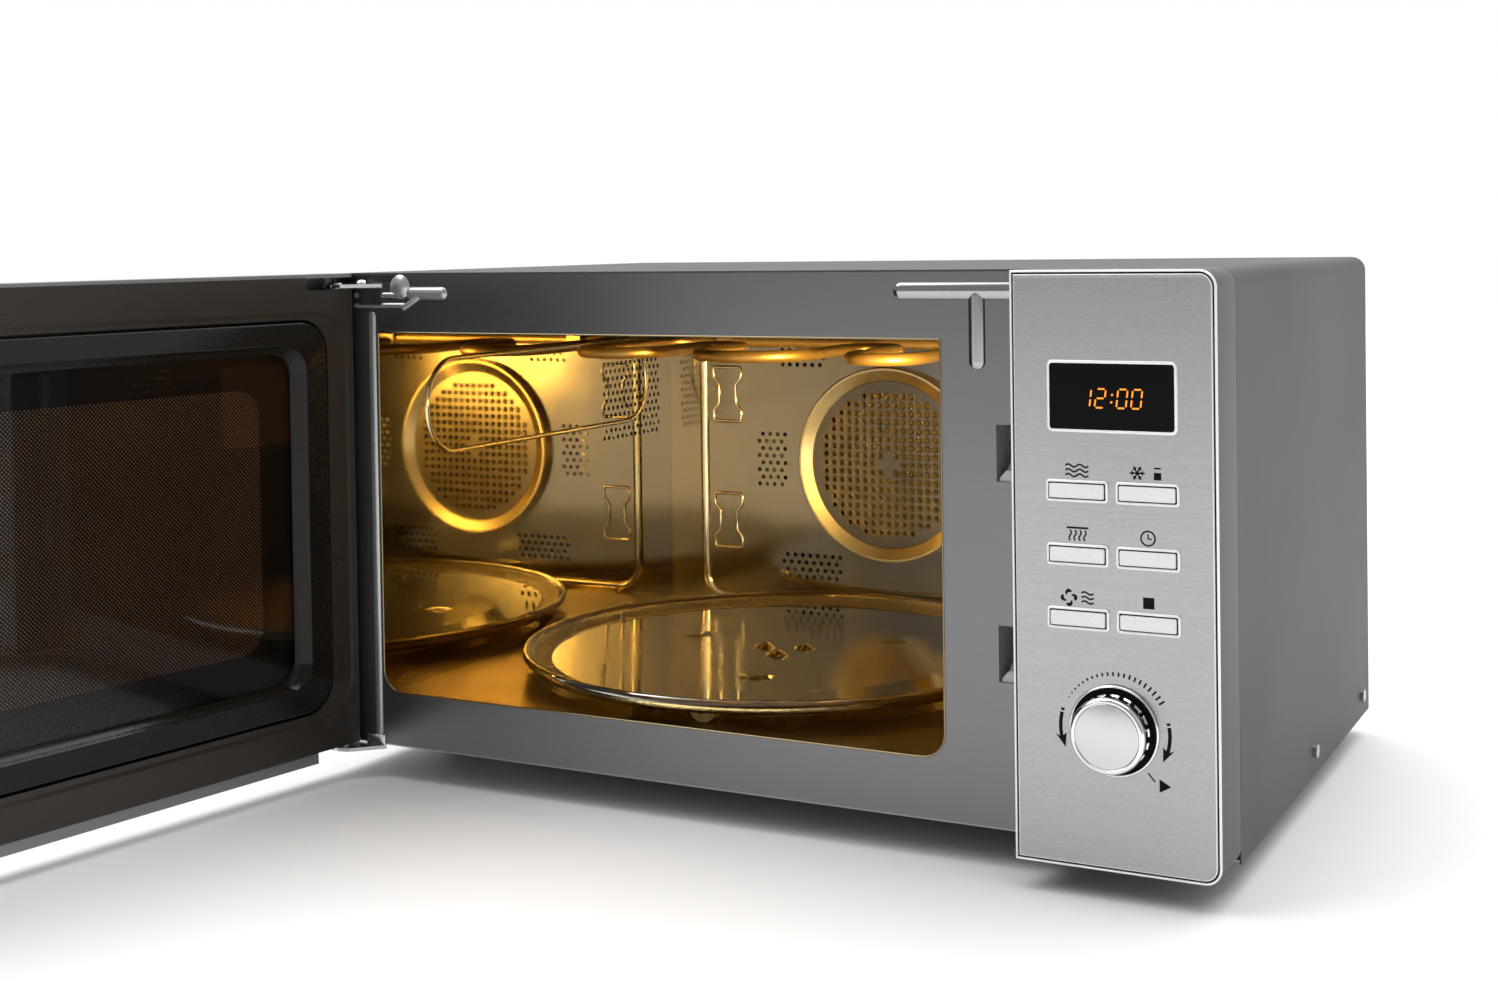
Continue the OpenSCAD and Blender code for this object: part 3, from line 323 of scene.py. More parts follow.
class Finish:
    """A material: plain values on its shader's own sockets, and patterns read from Object coordinates."""

    def __init__(self, name, colour, metallic=0.0, roughness=0.5, on_door=False, **values):
        self.mat = bpy.data.materials.new(name)
        self.mat.use_nodes = True
        self.tree = self.mat.node_tree
        self.shader = self.tree.nodes["Principled BSDF"]
        self.colour = (*colour, 1.0)
        self.put("Base Color", self.colour)
        self.put("Metallic", metallic)
        self.put("Roughness", roughness)
        self.rough = roughness
        for key, value in values.items():
            self.put(key.replace("_", " ").title().replace("Ior", "IOR"), value)
        coords = self.tree.nodes.new("ShaderNodeTexCoord").outputs["Object"]
        if on_door:
            back = self.tree.nodes.new("ShaderNodeMapping")
            back.vector_type = "POINT"
            at = AXIS * MM
            back.inputs["Rotation"].default_value = (0, 0, OPEN)
            c, s = math.cos(OPEN), math.sin(OPEN)
            turned_axis = np.array([c * at[0] - s * at[1], s * at[0] + c * at[1], 0.0])
            back.inputs["Location"].default_value = (at[0] - turned_axis[0], at[1] - turned_axis[1], 0.0)
            self.tree.links.new(coords, back.inputs["Vector"])
            coords = back.outputs["Vector"]
        self.coords = coords
        self.height = None

    def put(self, socket, value):
        """Sets a value that is the same all over on the shader's own socket."""
        self.shader.inputs[socket].default_value = value

    def link(self, value, socket):
        """Feeds a varying value to one of the shader's sockets."""
        self.tree.links.new(value, self.shader.inputs[socket])

    def use(self, g, **values):
        """Places a pattern group, with its own values, on the finish's coordinates."""
        n = self.tree.nodes.new("ShaderNodeGroup")
        n.node_tree = g
        for key, value in values.items():
            s = n.inputs[key.replace("_", " ")]
            if isinstance(value, bpy.types.NodeSocket):
                self.tree.links.new(value, s)
            else:
                s.default_value = value
        if "Vector" in n.inputs and "Vector" not in values:
            self.tree.links.new(self.coords, n.inputs["Vector"])
        return n

    def centred(self, at):
        """Coordinates that start from a point given in millimetres."""
        n = self.tree.nodes.new("ShaderNodeMapping")
        n.inputs["Location"].default_value = tuple(-np.array(at) * MM)
        self.tree.links.new(self.coords, n.inputs["Vector"])
        return n.outputs["Vector"]

    def tint(self, factor, other):
        """Colour between the finish's own and another by a factor socket."""
        n = self.tree.nodes.new("ShaderNodeMix")
        n.data_type = "RGBA"
        self.tree.links.new(factor, n.inputs["Factor"])
        first, second = n.inputs[6], n.inputs[7]
        first.default_value = self.colour
        second.default_value = (*other, 1.0)
        self.link(n.outputs[2], "Base Color")

    def vary_rough(self, shift, gain=1.0):
        """Roughness is the finish's own plus a shift."""
        self.link(calc(self.tree, "ADD", calc(self.tree, "MULTIPLY", shift, gain), self.rough, clamp=True),
                  "Roughness")

    def bump(self, height, distance, strength=1.0):
        """Adds a height pattern, its depth in millimetres, over those added before."""
        n = self.tree.nodes.new("ShaderNodeBump")
        n.inputs["Distance"].default_value = distance * MM
        n.inputs["Strength"].default_value = strength
        self.tree.links.new(height, n.inputs["Height"])
        if self.height is not None:
            self.tree.links.new(self.height, n.inputs["Normal"])
        self.height = n.outputs["Normal"]
        self.link(self.height, "Normal")


def brushed(name, colour, along, rough=0.3, lines=0.5, bump=0.02, on_door=False, **values):
    """Brushed steel: along is 0, 1 or 2, the axis that the lines run along."""
    f = Finish(name, colour, 1.0, rough, on_door=on_door, **values)
    stretch = [2600.0, 2600.0, 2600.0]
    stretch[along] = 26.0
    g = f.use(BRUSHED, Stretch=tuple(stretch), Strength=lines)
    shift = calc(f.tree, "SUBTRACT", g.outputs["Tone"], 0.5)
    f.vary_rough(calc(f.tree, "ADD", shift, f.use(SMUDGES, Scale=9.0, Amount=0.12).outputs["Shift"]), 0.5)
    dark = tuple(c * 0.72 for c in colour)
    f.tint(calc(f.tree, "MULTIPLY", g.outputs["Tone"], 0.7), dark)
    f.bump(g.outputs["Height"], bump, 0.5)
    return f.mat


def satin_paint(name, colour, rough=0.42, grain=1400.0, bump=0.01, metallic=0.0, on_door=False, **values):
    """Paint or moulded plastic with a fine orange-peel grain."""
    f = Finish(name, colour, metallic, rough, on_door=on_door, **values)
    peel = noise(f.tree, f.coords, grain, 2.0)
    f.bump(peel, bump, 0.6)
    f.vary_rough(f.use(SMUDGES, Scale=7.0, Amount=0.14).outputs["Shift"])
    f.tint(noise(f.tree, f.coords, grain * 0.4, 1.0), tuple(c * 0.88 for c in colour))
    return f.mat


def plain_metal(name, colour, rough=0.2, **values):
    """Plated or bare metal with faint uneven polish."""
    f = Finish(name, colour, 1.0, rough, **values)
    f.vary_rough(f.use(SMUDGES, Scale=40.0, Amount=0.12).outputs["Shift"])
    f.bump(noise(f.tree, f.coords, 300.0, 2.0), 0.008, 0.4)
    f.tint(noise(f.tree, f.coords, 60.0, 2.0), tuple(c * 0.9 for c in colour))
    return f.mat


def cavity_steel(name, colour, rough, wave=0.35, lines=0.15, cloud=0.1):
    """Bright annealed sheet: a mirror with slow waves from the pressing, and faint rolling lines."""
    f = Finish(name, colour, 1.0, rough)
    f.bump(noise(f.tree, f.coords, 10.0, 1.0), wave, 0.2)
    g = f.use(BRUSHED, Stretch=(900.0, 20.0, 900.0), Strength=lines)
    f.bump(g.outputs["Height"], 0.003, 0.3)
    f.vary_rough(f.use(SMUDGES, Scale=18.0, Amount=cloud).outputs["Shift"])
    f.tint(noise(f.tree, f.coords, 9.0, 3.0), tuple(c * 0.8 for c in colour))
    return f.mat


def guard_finish():
    """Guard sheet: brushed, with a raised burr round every hole of its square pattern. A burr is a ring
    1.75 to 2.3 mm from the nearest grid point, kept where a hole is punched."""
    f = Finish("fan guard steel", (0.66, 0.52, 0.27), 1.0, 0.2)
    place = f.centred((GUARD[0], 0, GUARD[2]))
    sep = split(f.tree, place)
    pitch = 0.0058
    parts = []
    for axis in "XZ":
        cell = calc(f.tree, "DIVIDE", sep[axis], pitch)
        whole = calc(f.tree, "ROUND", cell)
        parts.append((whole, calc(f.tree, "SUBTRACT", cell, whole)))
    (i, u), (j, v) = parts
    near = calc(f.tree, "SQRT", square_sum(f.tree, u, v))
    punched = calc(f.tree, "MULTIPLY", calc(f.tree, "LESS_THAN", square_sum(f.tree, i, j), 77.3),
                   calc(f.tree, "GREATER_THAN", square_sum(f.tree, i, j), 1.5))
    burr = calc(f.tree, "SUBTRACT", 1.0, calc(f.tree, "MULTIPLY", calc(f.tree, "ABSOLUTE",
                calc(f.tree, "SUBTRACT", near, 0.34)), 14.0), clamp=True)
    f.bump(calc(f.tree, "MULTIPLY", burr, punched), 0.5, 0.9)
    g = f.use(BRUSHED, Stretch=(60.0, 900.0, 900.0), Strength=0.3)
    f.bump(g.outputs["Height"], 0.006, 0.4)
    f.vary_rough(f.use(SMUDGES, Scale=20.0, Amount=0.1).outputs["Shift"])
    # Painted shade and highlight: the recessed disc inside radius 57.5 mm is darkened, and only the burr rims
    # round its holes keep the sheet's bright colour, as painted highlights.
    shaded_disc = calc(f.tree, "LESS_THAN", square_sum(f.tree, sep["X"], sep["Z"]), 0.0575 ** 2)
    f.tint(calc(f.tree, "MULTIPLY", shaded_disc, calc(f.tree, "SUBTRACT", 1.0, calc(f.tree, "MULTIPLY", burr,
                                                                             punched))),
           (0.17, 0.14, 0.1))
    return f.mat


M = {}
M["cover"] = satin_paint("cover grey paint", (0.058, 0.058, 0.059), 0.5, 1800.0, 0.012,
                         specular_ior_level=0.3)
M["screws"] = plain_metal("plated screws", (0.5, 0.5, 0.49), 0.28)
M["zinc"] = plain_metal("zinc sheet", (0.42, 0.42, 0.41), 0.38)
M["rear"] = satin_paint("rear zinc sheet", (0.33, 0.33, 0.32), 0.4, 500.0, 0.01, metallic=0.9)
M["rubber"] = satin_paint("foot rubber", (0.018, 0.018, 0.018), 0.75, 900.0, 0.02)
M["plate"] = brushed("front plate brushed steel", (0.21, 0.21, 0.215), 0, 0.3, 0.4, 0.014)
# Painted shade: the fan housing, fan and heater behind the guard get a near-black steel so that the guard's holes
# read dark.
M["chamber"] = plain_metal("fan chamber steel darkened as painted shade", (0.11, 0.085, 0.05), 0.42)
# Painted highlight: a brighter copy of the front plate's steel for the pressed hinge ribs and the upright bead.
M["pressed"] = satin_paint("pressed steel with painted highlight", (0.5, 0.5, 0.51), 0.24, 1400.0, 0.003, metallic=0.75)
M["lip"] = plain_metal("opening edge steel", (0.3, 0.24, 0.14), 0.2)
# Painted highlight: the tee rib is pressed in the front plate, in a copy of its steel twice as bright.
M["rib"] = brushed("pressed rib steel with painted highlight", (0.42, 0.42, 0.43), 0, 0.16, 0.2, 0.004)
# One cavity steel in lit and shaded copies: the left and right walls get brighter base colours as painted light,
# the back wall and ceiling darker ones as painted shade, and the warm tint of all four is partly painted amber
# lamp light.
M["cavity_left"] = cavity_steel("left wall steel with painted light", (0.62, 0.52, 0.33), 0.035, 0.3, cloud=0.05)
M["cavity_back"] = cavity_steel("back wall steel with painted shade", (0.36, 0.31, 0.235), 0.13, 0.25)
M["cavity_top"] = cavity_steel("ceiling steel with painted shade", (0.2, 0.16, 0.09), 0.24, 0.3)
M["cavity_right"] = cavity_steel("right wall steel with painted light", (0.55, 0.45, 0.27), 0.12, 0.3)
M["guard"] = guard_finish()
# Painted highlight: the beads are pressed in the cavity sheet but get a much brighter gold copy of its steel, so
# they read as lit ridges.
M["bead"] = plain_metal("pressed bead steel with painted highlight", (0.85, 0.74, 0.48), 0.1)
M["clip"] = plain_metal("element hanger steel", (0.35, 0.25, 0.13), 0.3)
M["mica"] = satin_paint("mica sheet", (0.42, 0.31, 0.16), 0.5, 300.0, 0.03)
M["alloy"] = plain_metal("die-cast alloy", (0.5, 0.5, 0.5), 0.35)
M["iron"] = satin_paint("varnished iron", (0.16, 0.07, 0.03), 0.35, 600.0, 0.02)
M["dark"] = satin_paint("black moulding", (0.012, 0.012, 0.012), 0.4, 1200.0, 0.01)
M["light"] = satin_paint("light grey moulding", (0.5, 0.5, 0.49), 0.5, 1200.0, 0.01)
M["cream"] = satin_paint("cream moulding", (0.72, 0.62, 0.4), 0.45, 900.0, 0.01)
M["moulding"] = satin_paint("panel moulding paint", (0.085, 0.085, 0.086), 0.45, 1600.0, 0.01,
                            specular_ior_level=0.35)
M["fascia"] = brushed("fascia brushed steel", (0.43, 0.43, 0.435), 0, 0.27, 0.8, 0.026)
M["chrome"] = plain_metal("bright chrome", (0.86, 0.86, 0.86), 0.07)
M["display"] = satin_paint("display black window", (0.002, 0.002, 0.002), 0.08, 900.0, 0.001,
                           specular_ior_level=0.07)
M["board"] = satin_paint("circuit board lacquer", (0.02, 0.12, 0.05), 0.35, 500.0, 0.01)
M["cap"] = satin_paint("button cap", (0.86, 0.86, 0.85), 0.34, 1400.0, 0.006)
M["trim"] = satin_paint("bright satin trim", (0.95, 0.95, 0.95), 0.25, 1400.0, 0.002, metallic=0.35)
M["shaft"] = plain_metal("shaft steel", (0.5, 0.5, 0.5), 0.25)
# Black ink for the printed marks, also laid as flat black sheets in the panel groove, the button gaps and under
# the knob as painted shade.
M["ink"] = satin_paint("black ink and painted shade", (0.004, 0.004, 0.004), 0.6, 2000.0, 0.003, specular_ior_level=0.1)
M["frame"] = satin_paint("door frame moulding", (0.24, 0.24, 0.24), 0.36, 1500.0, 0.008, metallic=0.5,
                         on_door=True)
M["amber"] = satin_paint("roller carrier moulding", (0.1, 0.07, 0.028), 0.4, 900.0, 0.01)
M["handle"] = brushed("handle brushed steel", (0.6, 0.6, 0.6), 2, 0.22, 0.3, 0.01, on_door=True)
M["hooks"] = satin_paint("latch hook moulding", (0.55, 0.55, 0.54), 0.45, 1200.0, 0.01)


def element_finish():
    """Steel tube browned by heat, with a scaly skin."""
    f = Finish("heated tube", (0.3, 0.19, 0.07), 0.85, 0.34)
    f.bump(noise(f.tree, f.coords, 420.0, 3.0), 0.03, 0.5)
    f.tint(noise(f.tree, f.coords, 70.0, 4.0), (0.16, 0.1, 0.04))
    f.vary_rough(f.use(SMUDGES, Scale=60.0, Amount=0.2).outputs["Shift"])
    return f.mat


def floor_finish():
    """Floor sheet with a hammered, glittering texture round the recess."""
    # Another copy of the cavity steel, darker and more amber than the walls: its warm tint is partly painted
    # amber lamp light.
    f = Finish("floor steel with painted lamp tint", (0.42, 0.33, 0.15), 1.0, 0.2)
    cells = f.tree.nodes.new("ShaderNodeTexVoronoi")
    cells.feature = "SMOOTH_F1"
    cells.inputs["Scale"].default_value = 330.0
    f.tree.links.new(f.coords, cells.inputs["Vector"])
    f.bump(cells.outputs["Distance"], 0.5, 0.75)
    f.bump(noise(f.tree, f.coords, 16.0, 1.0), 0.4, 0.3)
    f.vary_rough(f.use(SMUDGES, Scale=26.0, Amount=0.16).outputs["Shift"])
    f.tint(noise(f.tree, f.coords, 30.0, 3.0), (0.26, 0.19, 0.08))
    return f.mat


def door_steel_finish():
    """Brown-black enamelled steel with a soft pressed line round the border."""
    f = Finish("door brown enamel", (0.02, 0.017, 0.014), 0.0, 0.27, on_door=True, ior=1.38)
    peel = noise(f.tree, f.coords, 1500.0, 2.0)
    f.bump(peel, 0.012, 0.6)
    line = f.use(INSIDE, Vector=f.centred((MID_X, 0, OMZ + 0.5)), Half_width=0.1957, Half_height=0.1145,
                 Radius=0.024)
    step = calc(f.tree, "MULTIPLY", line.outputs["Distance"], -420.0)
    f.bump(calc(f.tree, "ADD", step, 0.5, clamp=True), 0.9, 0.8)
    f.tint(peel, (0.038, 0.031, 0.026))
    f.vary_rough(f.use(SMUDGES, Scale=8.0, Amount=0.1).outputs["Shift"])
    return f.mat


def choke_finish():
    """Satin black ring with a close leather-like grain."""
    f = Finish("choke cover grain", (0.004, 0.0036, 0.003), 0.0, 0.09, on_door=True, ior=1.3)
    cells = f.tree.nodes.new("ShaderNodeTexVoronoi")
    cells.inputs["Scale"].default_value = 900.0
    f.tree.links.new(f.coords, cells.inputs["Vector"])
    f.bump(cells.outputs["Distance"], 0.05, 0.6)
    f.tint(noise(f.tree, f.coords, 700.0, 2.0), (0.018, 0.015, 0.012))
    f.vary_rough(f.use(SMUDGES, Scale=10.0, Amount=0.1).outputs["Shift"])
    return f.mat


def screen_finish(half_w, half_h, radius):
    """Black screen plate with fine staggered holes inside a rounded field; the holes are tinted bronze as a
    painted reflection of the lamp-lit cavity.
    """
    f = Finish("window screen", (0.003, 0.003, 0.003), 0.0, 0.45, on_door=True, specular_ior_level=0.2)
    place = f.centred((MID_X, 0, OMZ + 2.5))
    dots = f.use(DOTS, Vector=place, Pitch=0.0023, Radius=0.00036)
    field = f.use(INSIDE, Vector=place, Half_width=half_w * MM, Half_height=half_h * MM, Radius=radius * MM)
    inside = calc(f.tree, "GREATER_THAN", field.outputs["Distance"], 0.0)
    mask = calc(f.tree, "MULTIPLY", dots.outputs["Mask"], inside)
    # Painted reflection: the holes are tinted bronze.
    f.tint(mask, (0.6, 0.37, 0.2))
    f.bump(mask, 0.1, 0.5)
    return f.mat


def glass_finish():
    """Clear float glass with the faintest uneven polish."""
    f = Finish("door clear glass", (0.82, 0.8, 0.78), 0.0, 0.0, on_door=True, transmission_weight=1.0,
               ior=1.28)
    f.vary_rough(f.use(SMUDGES, Scale=15.0, Amount=0.03).outputs["Shift"])
    return f.mat


def tray_finish():
    """Clear pressed glass with an amber tint that is painted lamp light: orange peel inside radius 110, smooth
    band, glittering texture on the slope.
    """
    f = Finish("tray glass", (0.97, 0.86, 0.58), 0.0, 0.04, transmission_weight=1.0, ior=1.5)
    place = f.centred((TRAY_C[0], TRAY_C[1], 0))
    sep = split(f.tree, place)
    x, y = sep["X"], sep["Y"]
    r = calc(f.tree, "SQRT", square_sum(f.tree, x, y))
    inner = calc(f.tree, "MULTIPLY", calc(f.tree, "SUBTRACT", 0.110, r), 2000.0, clamp=True)
    past_plate = calc(f.tree, "MULTIPLY", calc(f.tree, "SUBTRACT", r, 0.1405), 2000.0, clamp=True)
    before_rim = calc(f.tree, "MULTIPLY", calc(f.tree, "SUBTRACT", 0.1515, r), 2000.0, clamp=True)
    slope = calc(f.tree, "MULTIPLY", past_plate, before_rim)
    peel = calc(f.tree, "MULTIPLY", noise(f.tree, f.coords, 520.0, 2.0), inner)
    cells = f.tree.nodes.new("ShaderNodeTexVoronoi")
    cells.inputs["Scale"].default_value = 620.0
    f.tree.links.new(f.coords, cells.inputs["Vector"])
    glitter = calc(f.tree, "MULTIPLY", cells.outputs["Distance"], slope)
    f.bump(peel, 0.12, 0.5)
    f.bump(glitter, 0.9, 1.0)
    ring = calc(f.tree, "ABSOLUTE", calc(f.tree, "SUBTRACT", r, 0.058))
    f.bump(calc(f.tree, "MULTIPLY", ring, 3000.0, clamp=True), 0.15, 0.6)
    return f.mat


def glow(name, colour, strength):
    """Lit material of one colour."""
    f = Finish(name, tuple(c * 0.2 for c in colour), 0.0, 0.4)
    f.put("Emission Color", (*colour, 1.0))
    f.put("Emission Strength", strength)
    return f.mat


def hinge_finish():
    """Bright plated hinge arms, with the tabs against the front plate in the plate's own grey."""
    f = Finish("hinge plating", (0.7, 0.7, 0.7), 1.0, 0.2)
    sep = split(f.tree, f.coords)
    arm_z = (high("upper_hinge")[2] - 4.0) * MM
    below = calc(f.tree, "LESS_THAN", sep["Z"], arm_z)
    tab = calc(f.tree, "MULTIPLY", below, calc(f.tree, "GREATER_THAN", sep["Z"], 0.1))
    f.tint(tab, (0.24, 0.24, 0.245))
    f.vary_rough(f.use(SMUDGES, Scale=40.0, Amount=0.1).outputs["Shift"])
    return f.mat


M["hinge"] = hinge_finish()
M["element"] = element_finish()
M["floor"] = floor_finish()
M["door_steel"] = door_steel_finish()
M["choke"] = choke_finish()
M["screen"] = screen_finish(137.7, 72.1, 15.0)
M["glass"] = glass_finish()
M["outer_glass"] = satin_paint("door outer glass", (0.006, 0.006, 0.007), 0.06, 900.0, 0.001,
                               specular_ior_level=0.35, on_door=True)
M["tray"] = tray_finish()
M["digits"] = glow("orange digits", (1.0, 0.27, 0.02), 1.5)

NODE_FINISH = {
    "outer_cover": "cover", "cabinet_screws": "screws", "base_plate": "zinc", "feet": "rubber",
    "front_plate": "plate", "rear_panel": "rear", "rear_fan_cover": "rear", "fan_housing": "chamber",
    "cavity_left_wall": "cavity_left", "cavity_right_wall": "cavity_right", "cavity_ceiling": "cavity_top",
    "cavity_floor": "floor", "cavity_back_wall": "cavity_back", "fan_guard": "guard",
    "grill_element": "element", "grill_clips": "clip", "waveguide_cover": "mica", "waveguide": "zinc",
    "magnetron": "alloy", "hv_transformer": "iron", "hv_capacitor": "alloy", "cavity_lamp": "alloy",
    "turntable_motor": "alloy", "convection_motor": "alloy", "convection_heater": "chamber",
    "cooling_fan_motor": "dark", "latch_bracket": "light", "interlock_switches": "dark", "upper_hinge": "hinge",
    "lower_hinge": "hinge", "panel_fascia": "fascia", "display_window": "display", "control_board": "board",
    "cord_gland": "dark", "knob_shaft": "shaft", "turntable_coupler": "amber", "roller_ring": "amber",
    "roller_1": "cream", "roller_2": "cream", "roller_3": "cream", "convection_fan": "chamber",
    "cooling_fan": "dark", "door_outer_frame": "frame", "door_outer_glass": "outer_glass",
    "door_inner_frame": "door_steel", "door_inner_glass": "glass", "latch_hooks": "hooks",
    "panel_bezel": "moulding", "button_frames": "chrome", "knob_ring": "chrome", "knob": "chrome",
    "turntable_glass": "tray", "choke_cover": "choke", "door_handle": "handle",
    **{f"button_{i}": "cap" for i in range(1, 7)},
}
for node, key in NODE_FINISH.items():
    mesh = frame["nodes"][node].data
    mesh.materials.clear()
    mesh.materials.append(M[key])


# Front plate: pressed ribs, painted hinge shadow ----------------------------------------------

def pressed(box, rise, y, steps=8, k=10):
    """A pressed rib with round ends: y = y0 - rise sqrt(1 - (1 - inset/half)^2) over a rounded rectangle."""
    x0, z0, x1, z1, r = box
    half = min(x1 - x0, z1 - z0) / 2 - 0.02
    ins = half * (1 - np.cos(np.linspace(0, math.pi / 2, steps)))
    levels = inset(box, [(i, y - rise * math.sqrt(max(0.0, 1 - (1 - i / half) ** 2))) for i in ins])
    return rings(levels, k, cap_last=True)


def slanted(x0, z0, x1, z1, width, rise, y, steps=7):
    """A pressed rib with round ends along any line: a level-rib shape turned about its middle."""
    length = math.hypot(x1 - x0, z1 - z0) + width
    pts, faces = pressed((-length / 2, -width / 2, length / 2, width / 2, width / 2 - 0.05), rise, y, steps,
                         8)
    a = math.atan2(z1 - z0, x1 - x0)
    x, z = pts[:, 0].copy(), pts[:, 2].copy()
    pts[:, 0] = (x0 + x1) / 2 + x * math.cos(a) - z * math.sin(a)
    pts[:, 2] = (z0 + z1) / 2 + x * math.sin(a) + z * math.cos(a)
    return pts, faces


def front_plate_details():
    """Tee-shaped rib, hinge-side ribs and cone, a long upright bead, and the opening's rolled edge."""
    rib_y = PLATE_Y + 0.02
    top = high("front_plate")[2]
    mid = 279.7
    h_rib = pressed((94.5, mid - 4.25, PANEL0[0] - 2.0, mid + 4.25, 4.2), 1.7, rib_y, 10)
    v_rib = pressed((134.0, 241.4, 142.4, mid + 2.0, 4.1), 1.7, rib_y, 10)
    # The ribs and bead made here use brightened copies of the plate steel: painted highlights.
    piece("plate_tee_rib", together(h_rib, v_rib), M["rib"], "cabinet", sharp=60)
    cone = turned([(7.0, 0.0), (5.2, 0.9), (2.6, 1.5), (1.2, 1.7), (0.01, 1.75)], (-210.0, rib_y, 282.0),
                  "y", 32)
    shapes = [cone, slanted(-201.5, 278.3, -180.5, 278.3, 7.4, 1.7, rib_y),
              slanted(-207.0, 270.2, -197.0, 276.0, 3.6, 1.6, rib_y),
              pressed((-243.0, 275.8, -206.0, 279.0, 1.5), 1.0, rib_y, 7),
              pressed((-243.0, 270.0, -206.0, 273.0, 1.4), 1.0, rib_y, 7)]
    piece("plate_hinge_ribs", together(*shapes), M["pressed"], "cabinet", sharp=60)
    # Painted shadow: a thin black sheet on the plate just under its top edge beside the hinge, where the cover's
    # front edge and the hinge cast shade.
    shadow_sheet = rings(inset((-256.0, top - 4.2, -211.0, top - 0.4, 1.6), [(0, PLATE_Y - 0.01), (0.4,
                                                                                             PLATE_Y - 0.03)]),
                   8, cap_last=True)
    piece("plate_hinge_painted_shadow", shadow_sheet, M["dark"], "cabinet")
    bead = pressed((-232.6, 23.5, -227.6, 268.0, 2.4), 1.0, rib_y, 7)
    piece("plate_upright_bead", bead, M["pressed"], "cabinet", sharp=60)
    edge = outline(LEFT, FLOOR + 1.0, RIGHT, CEILING - 3.0, (13.0, 0.6, 0.6, 13.0), 12)
    loop = np.insert(edge, 1, rib_y, axis=1)[::-1]
    t = np.linspace(0, math.pi, 7)
    lip = np.stack([0.55 * np.cos(t), -0.5 * np.sin(t)], -1)
    piece("opening_lip", swept(loop, lip), M["lip"], "cabinet", sharp=70)


front_plate_details()


def latch_ramps():
    """Light stepped ramp at the foot of each latch slot, beside the space that the hook passes through."""
    x0, x1 = PANEL0[0] - 15.5, PANEL0[0] - 2.3
    mid = (low("latch_bracket")[2] + high("latch_bracket")[2]) / 2
    mid = OMZ if abs(mid - OMZ) > 6 else mid
    side = np.array([(x0 + 0.9, -13.6), (x1, -13.6), (x1, 1.2), (x1 - 3.7, 1.2), (x1 - 4.1, -3.4),
                     (x1 - 5.2, -8.5),
                     (x0 + 4.2, -8.5), (x0 + 1.3, -11.8)])
    shapes = []
    for s in (-48.5, 48.5):
        loop = side + (0, mid + s)
        n = len(loop)
        front, back = np.insert(loop, 1, 1.2, axis=1), np.insert(loop, 1, 1.9, axis=1)
        shapes.append((np.concatenate([back, front]), grid_faces(2, n,
                                                                 wrap_m=True) + [[n + i for i in range(n)]]))
    piece("latch_ramps", together(*shapes), M["light"], "cabinet")


latch_ramps()


# Cavity: pressed beads on the walls -------------------------------------------------------------

def half_round(width, rise, n=9):
    """Section of a pressed bead: half an ellipse."""
    t = np.linspace(0, math.pi, n)
    return np.stack([width / 2 * np.cos(t), -rise * np.sin(t)], -1)


def cavity_beads():
    """Half-round beads: round the back wall, four waisted outlines on it, and one on the left wall."""
    y = BACK - 0.05
    frame_path = outline(LEFT + 28.5, FLOOR + 3.0, RIGHT - 28.5, CEILING - 2.5, 16.0, 14)
    shapes = [swept(np.insert(frame_path, 1, y, axis=1)[::-1], half_round(7.0, 2.4))]
    for side in (-1, 1):
        for zc in (196.0, 106.0):
            cx = MID_X + side * (MID_X + 179.0)
            w, h, waist, cut = 11.0, 19.2, 6.6, 7.0
            half = np.array([(w, -h), (w, -cut - 4.4), (waist, -cut), (waist, cut), (w, cut + 4.4), (w, h)])
            pts = np.concatenate([half, half[::-1] * (-1, 1)])
            fine = []
            for a, b in zip(pts, np.roll(pts, -1, 0)):
                gap = np.linalg.norm(b - a)
                cut_by = min(1.2, gap / 3)
                fine += [a + (b - a) * cut_by / gap, b - (b - a) * cut_by / gap]
            loop = np.array(fine) + (cx, zc)
            shapes.append(swept(np.insert(loop, 1, y, axis=1)[::-1], half_round(2.4, 1.0, 7)))
    # The beads use the brightened bead steel, a painted highlight.
    piece("back_wall_beads", together(*shapes), M["bead"], "cabinet", sharp=70)
    slot_path = outline(44.0, 181.0, 296.0, 237.0, 27.0, 14)
    loop = np.stack([np.full(len(slot_path), LEFT + 0.05), slot_path[:, 0], slot_path[:, 1]], -1)
    piece("left_wall_bead", swept(loop, half_round(3.2, -1.3), across=(1, 0, 0)), M["bead"], "cabinet",
          sharp=70)


cavity_beads()


# Turntable ------------------------------------------------------------------------------------

